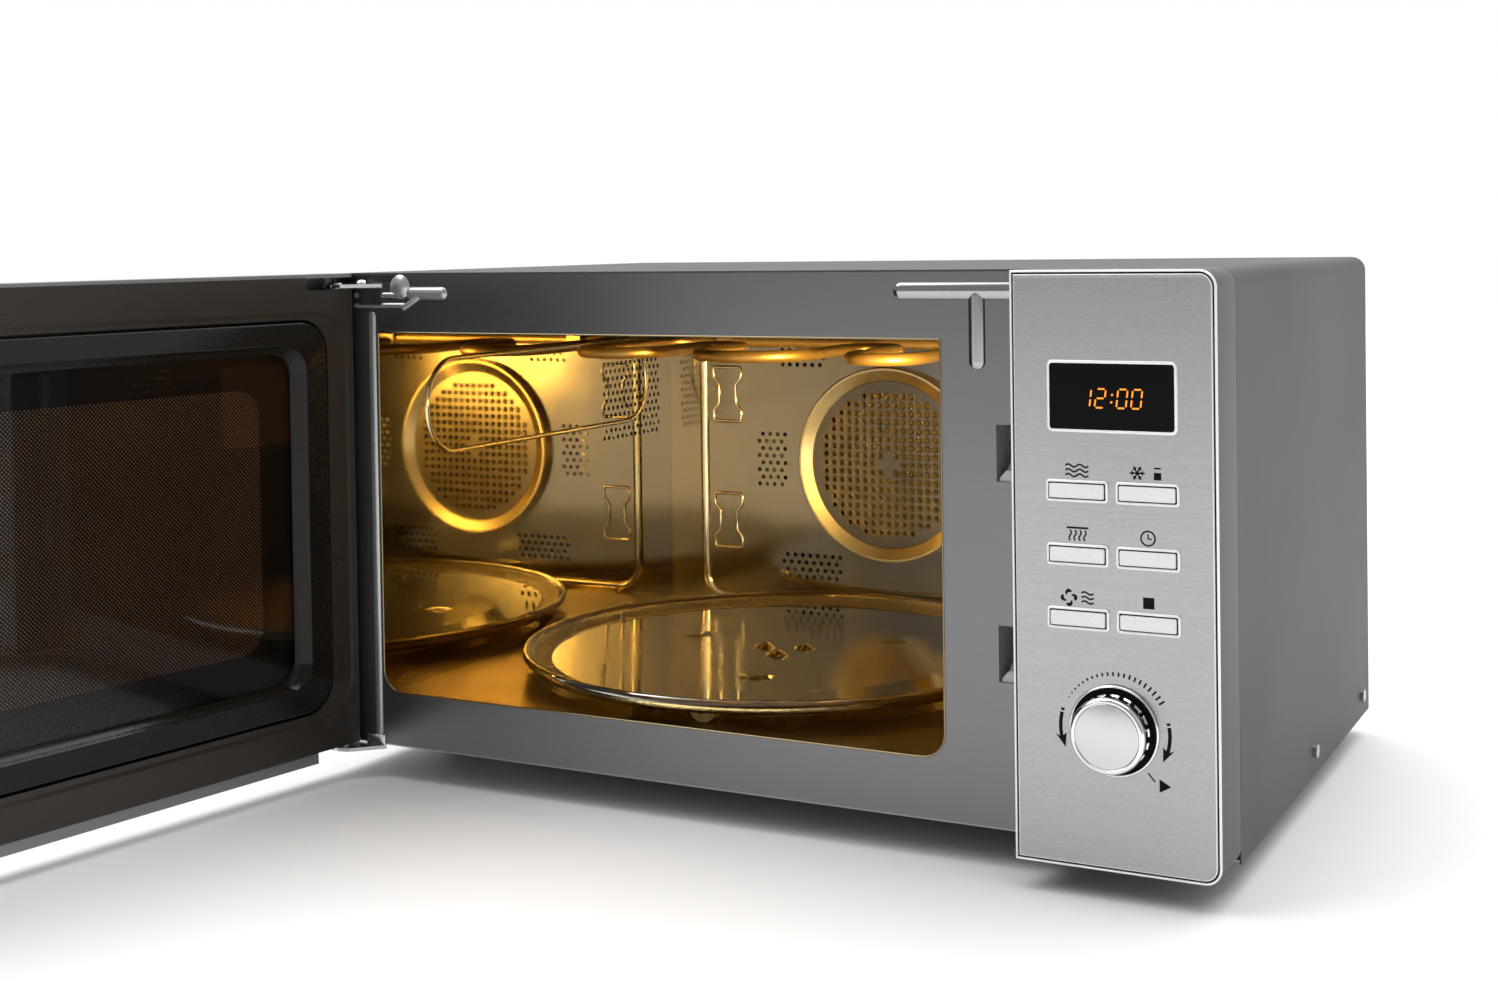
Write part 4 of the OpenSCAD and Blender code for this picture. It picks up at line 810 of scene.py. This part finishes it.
def tray():
    """Pressed glass tray: a turned profile with a soft slope and a stepped rim; three round bosses over the
    driving lugs and three wide shallow pads are lens shapes that stand on the top, with lugs below."""
    z, r = low("turntable_glass")[2] + 4.0, (high("turntable_glass")[0] - low("turntable_glass")[0]) / 2
    top = high("turntable_glass")[2]
    upper = [(0.01, z + 5), (r - 18, z + 5), (r - 17, z + 5.1), (r - 16.6, z + 5.5), (r - 15.6, z + 5.7),
             (r - 14, z + 6.0), (r - 9, z + 7.6), (r - 7, z + 8.3), (r - 6.4, z + 9.3), (r - 5.6, z + 9.5),
             (r - 4.6, z + 10.6), (r - 3.6, z + 10.8), (r - 2.6, top - 0.2), (r - 1.6, top), (r - 0.6,
                                                                                              top - 0.4),
             (r, top - 1.4)]
    lower = [(r - 0.1, z + 8.0), (r - 0.9, z + 6.4), (r - 3, z + 4.2), (r - 6, z + 2.5), (r - 11, z + 1.2),
             (r - 16, z), (0.01, z)]
    shapes = [turned((upper + lower)[::-1], (TRAY_C[0], TRAY_C[1], 0), n=160)]

    def lens(radius, rise, base):
        """Cap of a sphere over a circle, as (radius, height) pairs."""
        k = np.linspace(1, 0, 9)
        return [(max(radius * a, 0.01), base + rise * (1 - a * a)) for a in k]

    def at(deg, distance):
        """Place at a distance from the tray's middle, in a direction."""
        a = math.radians(deg)
        return (TRAY_C[0] + distance * math.cos(a), TRAY_C[1] + distance * math.sin(a), 0)

    for deg in (17, 137, 257):
        shapes.append(turned(lens(7.4, 2.9, z + 4.98), at(deg + 27.8, 14.5), n=40))
        shapes.append(turned(lens(11.0, 1.5, z + 4.98), at(deg + 27.8, 72.0), n=48))
    lug = [(0.01, z - 4), (2.5, z - 4), (3.8, z - 3.2), (4.5, z - 1.4), (4.9, z + 0.02)]
    shapes += [turned(lug, at(deg, 13.0), n=24) for deg in (60, 180, 300)]
    piece("tray", together(*shapes), M["tray"], "turntable", replaces=["turntable_glass"],
          sharp=50)


tray()


# Control panel -----------------------------------------------------------------------------------

def panel_shell():
    """Painted moulding with its bright rim, groove and inner bevel, carried round the panel's outline."""
    x0, z0, x1, z1 = PANEL0[0], PANEL0[2], PANEL1[0], PANEL1[2]
    back, f = PANEL1[1], FACE_Y
    box = (x0, z0, x1, z1, (8.0, 8.0, 0.8, 0.8))
    shell = rings(inset(box, [(2.2, back), (0.3, back), (0, back - 0.3), (0, f + 1.5), (0.05, f + 1.3)]), 12)
    piece("panel_side_wall", shell, M["moulding"], "cabinet", replaces=["panel_bezel"])
    rim = rings(inset(box, [(0.05, f + 1.3), (0.05, f + 0.6), (0.2, f + 0.2), (0.5, f + 0.02), (0.85,
                                                                                                f + 0.05),
                            (1.05, f + 0.3), (1.1, f + 1.0)]), 12)
    piece("panel_rim", rim, M["trim"], "cabinet", sharp=60)
    # Painted shade: the groove is a flat black band, not a recess.
    groove = rings(inset(box, [(1.1, f + 1.0), (1.9, f + 1.0)]), 12)
    piece("panel_groove_shade", groove, M["ink"], "cabinet")
    bevel = rings(inset(box, [(1.9, f + 1.0), (1.92, f + 0.5), (2.05, f + 0.2), (2.3, f + 0.02),
                              (2.45, f - 0.03)]), 12)
    piece("fascia_edge", bevel, M["trim"], "cabinet", sharp=60)
    border = rings(inset(box, [(2.45, f - 0.03), (3.2, f - 0.03), (3.6, f - 0.005)]), 12)
    piece("fascia_border", border, M["fascia"], "cabinet", sharp=60)
    floor = rings(inset(box, [(1.8, f + 1.2), (3.4, f + 0.9), (3.6, f + 0.75)]), 12, cap_last=True)
    piece("panel_backing", floor, M["dark"], "cabinet")


def display():
    """Bright bezel, and a clock face of seven-bar digits that lean to the right."""
    lo, hi = low("display_window"), high("display_window")
    y = lo[1]
    box = (lo[0] - 0.2, lo[2] - 0.2, hi[0] + 0.2, hi[2] + 0.2, 2.0)
    bezel = rings(inset(box, [(-0.9, FACE_Y + 0.02), (-0.7, FACE_Y - 0.35), (-0.2, FACE_Y - 0.5), (0.3,
                                                                                                   y - 0.15),
                              (0.5, y + 0.02)]), 10)
    piece("display_bezel", bezel, M["trim"], "cabinet", sharp=60)
    segs = []
    w, h, t, lean = 4.4, 8.6, 0.75, 0.12
    bars = {"a": (0, h, w, h), "b": (w, h / 2, w, h), "c": (w, 0, w, h / 2), "d": (0, 0, w, 0),
            "e": (0, 0, 0, h / 2), "f": (0, h / 2, 0, h), "g": (0, h / 2, w, h / 2)}
    digits = {"1": "bc", "2": "abged", "0": "abcdef"}

    def bar(x, z, x2, z2):
        """A lit bar: a long hexagon with pointed ends, shortened by a small gap."""
        d = np.array([x2 - x, z2 - z], float)
        length = np.linalg.norm(d)
        d /= length
        n = np.array([-d[1], d[0]])
        a, b = np.array([x, z]) + d * 0.45, np.array([x2, z2]) - d * 0.45
        q = [a, a + d * 0.35 + n * t / 2, b - d * 0.35 + n * t / 2, b, b - d * 0.35 - n * t / 2,
             a + d * 0.35 - n * t / 2]
        return np.array(q)

    x = (lo[0] + hi[0]) / 2 - 14.5
    z = (lo[2] + hi[2]) / 2 - 5.0
    for i, ch in enumerate("12:00"):
        if ch == ":":
            for dz in (2.6, 6.0):
                segs.append(outline(x + 0.3, z + dz - 0.5, x + 1.3, z + dz + 0.5, 0.4, 4))
            x += 3.4
            continue
        for s in digits[ch]:
            segs.append(bar(*bars[s]) + (x, z))
        x += 6.8
    shapes = []
    for q in segs:
        q = q + np.stack([(q[:, 1] - z) * lean, np.zeros(len(q))], -1)
        shapes.append((np.insert(q, 1, y - 0.05, axis=1), [list(range(len(q)))]))
    piece("display_digits", together(*shapes), M["digits"], "cabinet")


def buttons():
    """Six caps, each with its stem, in bright surrounds, with a flat black sheet laid in the gap round each cap
    as painted shade.
    """
    frames = []
    for i in range(1, 7):
        node = f"button_{i}"
        lo, hi = low(node), high(node)
        cx, cz, front = (lo[0] + hi[0]) / 2, (lo[2] + hi[2]) / 2, lo[1]
        w, h = 12.95, 3.3
        cap = rings(inset((cx - w, cz - h, cx + w, cz + h, 0.7), [(0, FACE_Y - 0.7), (0, front + 0.5),
                    (0.15, front + 0.18), (0.45, front + 0.03), (1.0, front)]), 8, cap_first=True,
                    cap_last=True)
        stem = rings([(cx - 12.0, cz - 2.8, cx + 12.0, cz + 2.8, 0.3, y) for y in (FACE_Y + 3.0,
                                                                                   FACE_Y - 0.7)], 3,
                     cap_first=True, cap_last=True)
        piece(f"cap_{i}", together(cap, stem), M["cap"], node, replaces=[node])
        outward(f"cap_{i}")
        fw, fh = 14.85, 5.2
        frames.append(rings(inset((cx - fw, cz - fh, cx + fw, cz + fh, 1.9), [(0, FACE_Y + 0.05), (0.05,
                                                                                                   FACE_Y - 0.7),
                      (0.35, FACE_Y - 1.1), (0.8, FACE_Y - 1.2), (1.2, FACE_Y - 1.0), (1.35, FACE_Y - 0.4),
                      (1.35, FACE_Y + 0.05)]), 8))
        # Painted shade: flat black rings laid in the gap round each cap.
        gap = (cx - fw + 1.3, cz - fh + 1.3, cx + fw - 1.3, cz + fh - 1.3, 0.6)
        well = rings(inset(gap, [(0, FACE_Y - 0.02), (0.3, FACE_Y - 0.03)]), 6)
        inner = rings(inset(gap, [(0, FACE_Y - 0.03), (0.55, FACE_Y - 0.03)]), 6)
        piece(f"button_gap_shade_{i}", together(well, inner), M["ink"], "cabinet")
    piece("button_surrounds", together(*frames), M["trim"], "cabinet",
          replaces=["button_frames"],
          sharp=60)


def knob():
    """Turned rim and face, a skirt with rows of shallow recesses, and the fixed ring round it. The skirt is a
    cylinder whose radius is less by a step inside each recess."""
    lo, hi = low("knob"), high("knob")
    cx, cz, front, back = (lo[0] + hi[0]) / 2, (lo[2] + hi[2]) / 2, lo[1], hi[1]
    r = (hi[0] - lo[0]) / 2
    rim = [(r - 2.6, -front - 0.75), (r - 2.45, -front - 0.2), (r - 2.0, -front), (r - 1.2, -front - 0.15),
           (r - 0.45, -front - 0.8), (r - 0.05, -front - 1.8), (r, -front - 2.6), (r - 0.35, -front - 3.1)]
    piece("knob_rim", turned(rim, (cx, 0, cz), "y", 96), M["chrome"], "knob",
          replaces=["knob"],
          sharp=60)
    n = 18
    t = np.linspace(0, 2 * math.pi, n * 8, endpoint=False)
    y = np.array([front + 3.0, front + 3.6, front + 4.2, back - 2.4, back - 1.8, back - 0.6, back])[:, None]
    base = np.array([0.35, 0.3, 0.3, 0.3, 0.3, 0.3, 0.7])[:, None]
    dent = np.array([0.0, 0.0, 0.55, 0.55, 0.0, 0.0, 0.0])[:, None]
    panel = (np.arange(n * 8) % 8 < 5).astype(float)[None, :]
    rad = r - base - dent * panel
    pts = np.stack([cx + rad * np.cos(t), np.broadcast_to(y, rad.shape), cz + rad * np.sin(t)],
                   -1).reshape(-1, 3)
    faces = grid_faces(7, n * 8, wrap_m=True)
    faces.append([6 * n * 8 + j for j in range(n * 8)])
    piece("knob_skirt", (pts, faces), M["chrome"], "knob", sharp=20)
    face = [(r - 2.55, -front - 0.8), (r - 2.75, -front - 0.35), (r - 3.1, -front - 0.25), (0.01,
                                                                                            -front - 0.15)]
    f = Finish("spun knob face", (0.66, 0.66, 0.655), 1.0, 0.24)
    place = f.centred((cx, 0, cz))
    sep = split(f.tree, place)
    x, z = sep["X"], sep["Z"]
    rr = calc(f.tree, "SQRT", square_sum(f.tree, x, z))
    rings_v = f.tree.nodes.new("ShaderNodeCombineXYZ")
    f.tree.links.new(calc(f.tree, "MULTIPLY", rr, 9000.0), rings_v.inputs["X"])
    circles = noise(f.tree, rings_v.outputs[0], 1.0, 2.0)
    f.bump(circles, 0.008, 0.5)
    f.tint(circles, (0.56, 0.56, 0.555))
    piece("knob_face", turned(face, (cx, 0, cz), "y", 96), f.mat, "knob", sharp=60)
    ring = [(r + 2.2, -FACE_Y + 0.02), (r + 2.3, -FACE_Y + 1.5), (r + 2.6, -FACE_Y + 2.0), (r + 3.0,
                                                                                            -FACE_Y + 2.05),
            (r + 3.4, -FACE_Y + 1.6), (r + 3.6, -FACE_Y + 0.8), (r + 3.65, -FACE_Y - 0.1)]
    piece("knob_surround", turned(ring, (cx, 0, cz), "y", 96), M["chrome"], "cabinet",
          replaces=["knob_ring"], sharp=60)
    # Painted shade: a flat black disc under the knob, seen in the gap between its skirt and the fixed ring.
    well = [(0.01, -FACE_Y + 0.03), (r + 2.3, -FACE_Y + 0.03)]
    piece("knob_shade_disc", turned(well, (cx, 0, cz), "y", 64), M["ink"], "cabinet")
    return cx, cz, r


def arc(cx, cz, r, a0, a1, width, n=24):
    """A flat printed arc as a strip of quads; angles in degrees, widths in millimetres."""
    t = np.radians(np.linspace(a0, a1, n))
    w = np.broadcast_to(np.array(width, float), (n,)) / 2
    inner = np.stack([cx + (r - w) * np.cos(t), cz + (r - w) * np.sin(t)], -1)
    outer = np.stack([cx + (r + w) * np.cos(t), cz + (r + w) * np.sin(t)], -1)
    return np.concatenate([inner, outer]), [[i, i + 1, n + i + 1, n + i] for i in range(n - 1)]


def stroke(points, width):
    """A flat printed line through points."""
    p = np.array(points, float)
    t = np.gradient(p, axis=0)
    t /= np.linalg.norm(t, axis=1, keepdims=True)
    nrm = np.stack([-t[:, 1], t[:, 0]], -1) * width / 2
    n = len(p)
    return np.concatenate([p - nrm, p + nrm]), [[i, i + 1, n + i + 1, n + i] for i in range(n - 1)]


def polygon(points):
    """A flat printed shape with straight sides."""
    return np.array(points, float), [list(range(len(points)))]


def prints(cx, cz, r):
    """Generic printed marks: a picture over each button, a growing scale and two arrows round the knob."""
    flat = []
    t = np.linspace(0, 1, 24)

    def wave(x, z, w=8.4, a=0.5, turns=2.0):
        return stroke(np.stack([x + (t - 0.5) * w, z + a * np.sin(t * 2 * math.pi * turns)], -1), 0.62)

    def flake(x, z, s=2.7):
        arms = []
        for k in range(6):
            a = math.radians(60 * k)
            d = np.array([math.cos(a), math.sin(a)])
            arms.append(stroke([(x, z), (x + d[0] * s, z + d[1] * s)], 0.55))
            for turn in (-0.8, 0.8):
                e = np.array([math.cos(a + turn), math.sin(a + turn)]) * s * 0.36
                b = np.array([x, z]) + d * s * 0.5
                arms.append(stroke([b, b + e], 0.45))
        return arms

    def heat(x, z):
        return [stroke([(x - 4.0, z + 2.3), (x + 4.0, z + 2.3)], 0.7)] + [
            stroke(np.stack([x + k + 0.4 * np.sin(t * 2 * math.pi), z + 1.5 - t * 3.8], -1), 0.58)
            for k in (-2.7, -0.9, 0.9, 2.7)]

    def clock(x, z):
        return [arc(x, z, 2.5, 0, 360, 0.6, 32), stroke([(x, z - 0.2), (x, z + 1.6)], 0.5),
                stroke([(x - 0.2, z), (x + 1.3, z - 0.3)], 0.5)]

    def blades(x, z):
        return [arc(x + 1.5 * math.cos(math.radians(a)), z + 1.5 * math.sin(math.radians(a)), 1.0, a - 60,
                    a + 120,
                    (0.5, 1.1, 1.4, 1.1, 0.8, 0.5), 6) for a in (0, 90, 180, 270)]

    def box(x, z, h):
        return polygon([(x - h, z - h), (x + h, z - h), (x + h, z + h), (x - h, z + h)])

    centres = [((low(f"button_{i}")[0] + high(f"button_{i}")[0]) / 2,
                (low(f"button_{i}")[2] + high(f"button_{i}")[2]) / 2 + 9.4) for i in range(1, 7)]
    icons = [lambda x, z: [wave(x, z + k) for k in (-1.7, 0, 1.7)],
             lambda x, z: flake(x - 3.6, z) + [box(x + 3.6, z - 0.9, 1.3),
                                               stroke([(x + 2.4, z + 1.9), (x + 4.8, z + 1.9)], 0.6)],
             heat, clock,
             lambda x, z: blades(x - 3.4, z) + [wave(x + 3.4, z + k, 4.4, 0.45, 1.0) for k in (-1.3, 0.3,
                                                                                               1.9)],
             lambda x, z: [box(x, z, 2.0)]]
    for centre, icon in zip(centres, icons):
        flat += [(np.array(centre) + p * 1.3, f) for p, f in icon(0.0, 0.0)]
    for k, a in enumerate(np.linspace(148, 34, 21)):
        reach = 0.5 + 2.6 * k / 20
        d = np.array([math.cos(math.radians(a)), math.sin(math.radians(a))])
        inner, outer = np.array([cx, cz]) + d * (r + 7.4), np.array([cx, cz]) + d * (r + 7.4 + reach)
        flat.append(stroke([inner, outer], 0.9))
    for side in (-1, 1):
        a0, a1 = (166, 191) if side < 0 else (9, -16)
        flat.append(arc(cx, cz, r + 8.0, a0, a1, 1.7, 12))
        flat.append(arc(cx, cz, r + 8.0, a0 + side * 4.5, a0 + side * 1.8, 1.7, 4))
        a = math.radians(a1)
        p = np.array([cx + (r + 8.0) * math.cos(a), cz + (r + 8.0) * math.sin(a)])
        tan = np.array([math.sin(a), -math.cos(a)]) * (1 if side > 0 else -1)
        nor = np.array([math.cos(a), math.sin(a)])
        flat.append(polygon([p + tan * 5.4 - nor * 0.8, p + nor * 2.7 - tan * 1.4, p + nor * 0.8,
                             p - nor * 0.8,
                             p - nor * 2.7 - tan * 1.4]))
    flat.append(stroke([(cx + 15.4, cz - 17.6), (cx + 18.6, cz - 21.4)], 0.7))
    flat.append(polygon([(cx + 20.6, cz - 26.0), (cx + 20.6, cz - 19.8), (cx + 26.0, cz - 22.9)]))
    shapes = [(np.insert(p, 1, FACE_Y - 0.025, axis=1), f) for p, f in flat]
    piece("panel_prints", together(*shapes), M["ink"], "cabinet")


panel_shell()
display()
buttons()
prints(*knob())


# Door -------------------------------------------------------------------------------------------

def door_pieces():
    """Choke cover ring, which curves down to the glass at its inner edge, and window screen, made closed and
    swung open.
    """
    mid = (high("choke_cover")[2] + low("choke_cover")[2]) / 2
    half_h = (high("choke_cover")[2] - low("choke_cover")[2]) / 2
    z0, z1 = mid - half_h, mid + half_h
    box = (MID_X - 180.0, z0, MID_X + 180.0, z1, 17.5)
    s = STEEL_Y
    ring = inset(box, [(0.6, s - 4.4), (0.0, s - 4.0), (0, s - 0.2), (0.2, s + 0.35), (0.6, s + 0.65), (1.2,
                                                                                                        s + 0.8)])
    ring += [(MID_X - 166.6, z0 + 13.0, MID_X + 166.6, z1 - 11.6, 16.8, s + 0.8),
             (MID_X - 165.9, z0 + 13.5, MID_X + 165.9, z1 - 12.1, 16.4, s + 0.95),
             (MID_X - 165.2, z0 + 14.0, MID_X + 165.2, z1 - 12.6, 16.0, s + 0.6),
             (MID_X - 164.4, z0 + 14.6, MID_X + 164.4, z1 - 13.2, 15.6, s - 0.6),
             (MID_X - 159.5, z0 + 17.0, MID_X + 159.5, z1 - 16.0, 14.6, s - 3.7),
             (MID_X - 158.4, z0 + 17.6, MID_X + 158.4, z1 - 16.6, 14.2, s - 3.9),
             (MID_X - 157.6, z0 + 18.0, MID_X + 157.6, z1 - 17.0, 14.0, s - 4.15)]
    piece("choke_ring", rings(ring, 14), M["choke"], "door", replaces=["choke_cover"],
          sharp=50,
          turn=True)
    plate = rings(inset((MID_X - 164.0, z0 + 15.0, MID_X + 164.0, z1 - 15.0, 11.0), [(0, s - 6.95), (1.0,
                                                                                                     s - 6.95)]),
                  10, cap_last=True)
    piece("window_screen", plate, M["screen"], "door", turn=True)


def handle():
    """Bar with rounded ends on two posts, turned profiles."""
    x = MID_X + 192.5
    r = 7.0
    bar_y = FACE_Y - 34.0
    z0, z1 = low("door_handle")[2], high("door_handle")[2]
    end = [(0.01, 0.0), (r * 0.45, 0.12), (r * 0.75, 0.55), (r * 0.93, 1.4), (r, 2.8)]
    prof = [(a, z0 + b) for a, b in end] + [(a, z1 - b) for a, b in end[::-1]]
    shapes = [turned(prof, (x, bar_y, 0), n=48)]
    zc = (z0 + z1) / 2
    for s in (-80.0, 80.0):
        post = [(5.0, -bar_y - 2.0), (5.0, -FACE_Y + 2.4), (5.5, -FACE_Y + 1.0), (6.6, -FACE_Y + 0.3),
                (6.9, -FACE_Y + 0.02)]
        shapes.append(turned(post, (x, 0, zc + s), "y", 32))
    piece("handle_bar", together(*shapes), M["handle"], "door", replaces=["door_handle"],
          sharp=45,
          turn=True)
    outward("handle_bar")


door_pieces()
handle()


# Hinge: domed rivet and pin head ------------------------------------------------------------------

def hinge_rivets():
    """Domed rivet and pin head on the upper hinge, both turned profiles."""
    top = high("upper_hinge")[2]
    dome = [(3.6, top - 1.4), (3.5, top - 0.4), (2.8, top + 0.6), (1.6, top + 1.2), (0.01, top + 1.4)]
    shapes = [turned(dome, (AXIS[0] + 15.0, AXIS[1] + 4.6, 0), n=32)]
    head = [(4.4, top - 1.2), (4.3, top - 0.5), (3.6, top - 0.1), (0.01, top)]
    shapes.append(turned(head, (AXIS[0], AXIS[1], 0), n=32))
    piece("hinge_rivets", together(*shapes), M["chrome"], "cabinet", sharp=60)
    outward("hinge_rivets")


hinge_rivets()


# Camera, floor and light --------------------------------------------------------------------------

def camera():
    """Looks along a direction given by yaw and pitch, turned about it by roll."""
    yaw, pitch, roll = math.radians(27.845), math.radians(1.14), math.radians(-0.843)
    fwd = np.array([-math.sin(yaw) * math.cos(pitch), math.cos(yaw) * math.cos(pitch), -math.sin(pitch)])
    right = np.array([math.cos(yaw), math.sin(yaw), 0.0])
    up = np.cross(right, fwd)
    r = math.cos(roll) * right + math.sin(roll) * up
    u = -math.sin(roll) * right + math.cos(roll) * up
    cam = bpy.data.cameras.new("camera")
    obj = bpy.data.objects.new("camera", cam)
    bpy.context.scene.collection.objects.link(obj)
    m = Matrix.Identity(4)
    for i in range(3):
        m[i][0], m[i][1], m[i][2] = r[i], u[i], -fwd[i]
    m[0][3], m[1][3], m[2][3] = 0.4731, -0.8687, 0.3062
    obj.matrix_world = m
    cam.sensor_width = 36.0
    cam.lens = 46.05
    cam.shift_y = -0.148
    cam.clip_start = 0.01
    bpy.context.scene.camera = obj


def lamp(name, where, target, size, energy, colour=(1, 1, 1), spread=180.0):
    """Square area light at a place, aimed at a target."""
    light = bpy.data.lights.new(name, "AREA")
    light.size = size
    light.spread = math.radians(spread)
    light.energy = energy
    light.color = colour
    obj = bpy.data.objects.new(name, light)
    bpy.context.scene.collection.objects.link(obj)
    at, to = np.array(where, float), np.array(target, float)
    z = (at - to) / np.linalg.norm(at - to)
    x = np.cross((0, 0, 1), z)
    x = x / np.linalg.norm(x) if np.linalg.norm(x) > 1e-6 else np.array((1.0, 0, 0))
    y = np.cross(z, x)
    m = Matrix.Identity(4)
    for i in range(3):
        m[i][0], m[i][1], m[i][2], m[i][3] = x[i], y[i], z[i], at[i]
    obj.matrix_world = m


def studio():
    """Pale floor, a sky that is dimmer towards the front, a softbox, and the lamp behind the right wall."""
    f = Finish("studio floor", (0.86, 0.86, 0.86), 0.0, 0.6)
    mesh = bpy.data.meshes.new("floor")
    mesh.from_pydata([(-6, -6, 0), (6, -6, 0), (6, 6, 0), (-6, 6, 0)], [], [(0, 1, 2, 3)])
    mesh.materials.append(f.mat)
    floor = bpy.data.objects.new("floor", mesh)
    bpy.context.scene.collection.objects.link(floor)
    world = bpy.data.worlds.new("studio")
    bpy.context.scene.world = world
    world.use_nodes = True
    tree = world.node_tree
    way = tree.nodes.new("ShaderNodeTexCoord").outputs["Generated"]
    sep = split(tree, way)
    ramp = tree.nodes.new("ShaderNodeMapRange")
    ramp.interpolation_type = "SMOOTHSTEP"
    for label, value in (("From Min", -0.35), ("From Max", 0.45), ("To Min", 0.36), ("To Max", 1.0)):
        ramp.inputs[label].default_value = value
    tree.links.new(sep["Y"], ramp.inputs["Value"])
    tree.links.new(ramp.outputs["Result"], tree.nodes["Background"].inputs["Strength"])
    tree.nodes["Background"].inputs["Color"].default_value = (1.0, 1.0, 1.0, 1.0)
    lamp("key softbox", (-1.5, -1.3, 2.2), (0, 0, 0.1), 1.6, 30.0)
    lamp_at = np.array((RIGHT - 3.0, 66.0, 213.0)) * MM
    lamp_to = np.array((LEFT + 40.0, BACK, 110.0)) * MM
    lamp("cavity lamp light", lamp_at, lamp_to, 0.02, 3.4, (1.0, 0.66, 0.16), 96.0)
    sun = bpy.data.lights.new("overhead sky", "SUN")
    sun.energy, sun.angle = 2.6, math.radians(70)
    sky = bpy.data.objects.new("overhead sky", sun)
    sky.rotation_euler = (math.radians(-12), 0, 0)
    bpy.context.scene.collection.objects.link(sky)
    bpy.context.scene.view_settings.view_transform = "Standard"


camera()
studio()
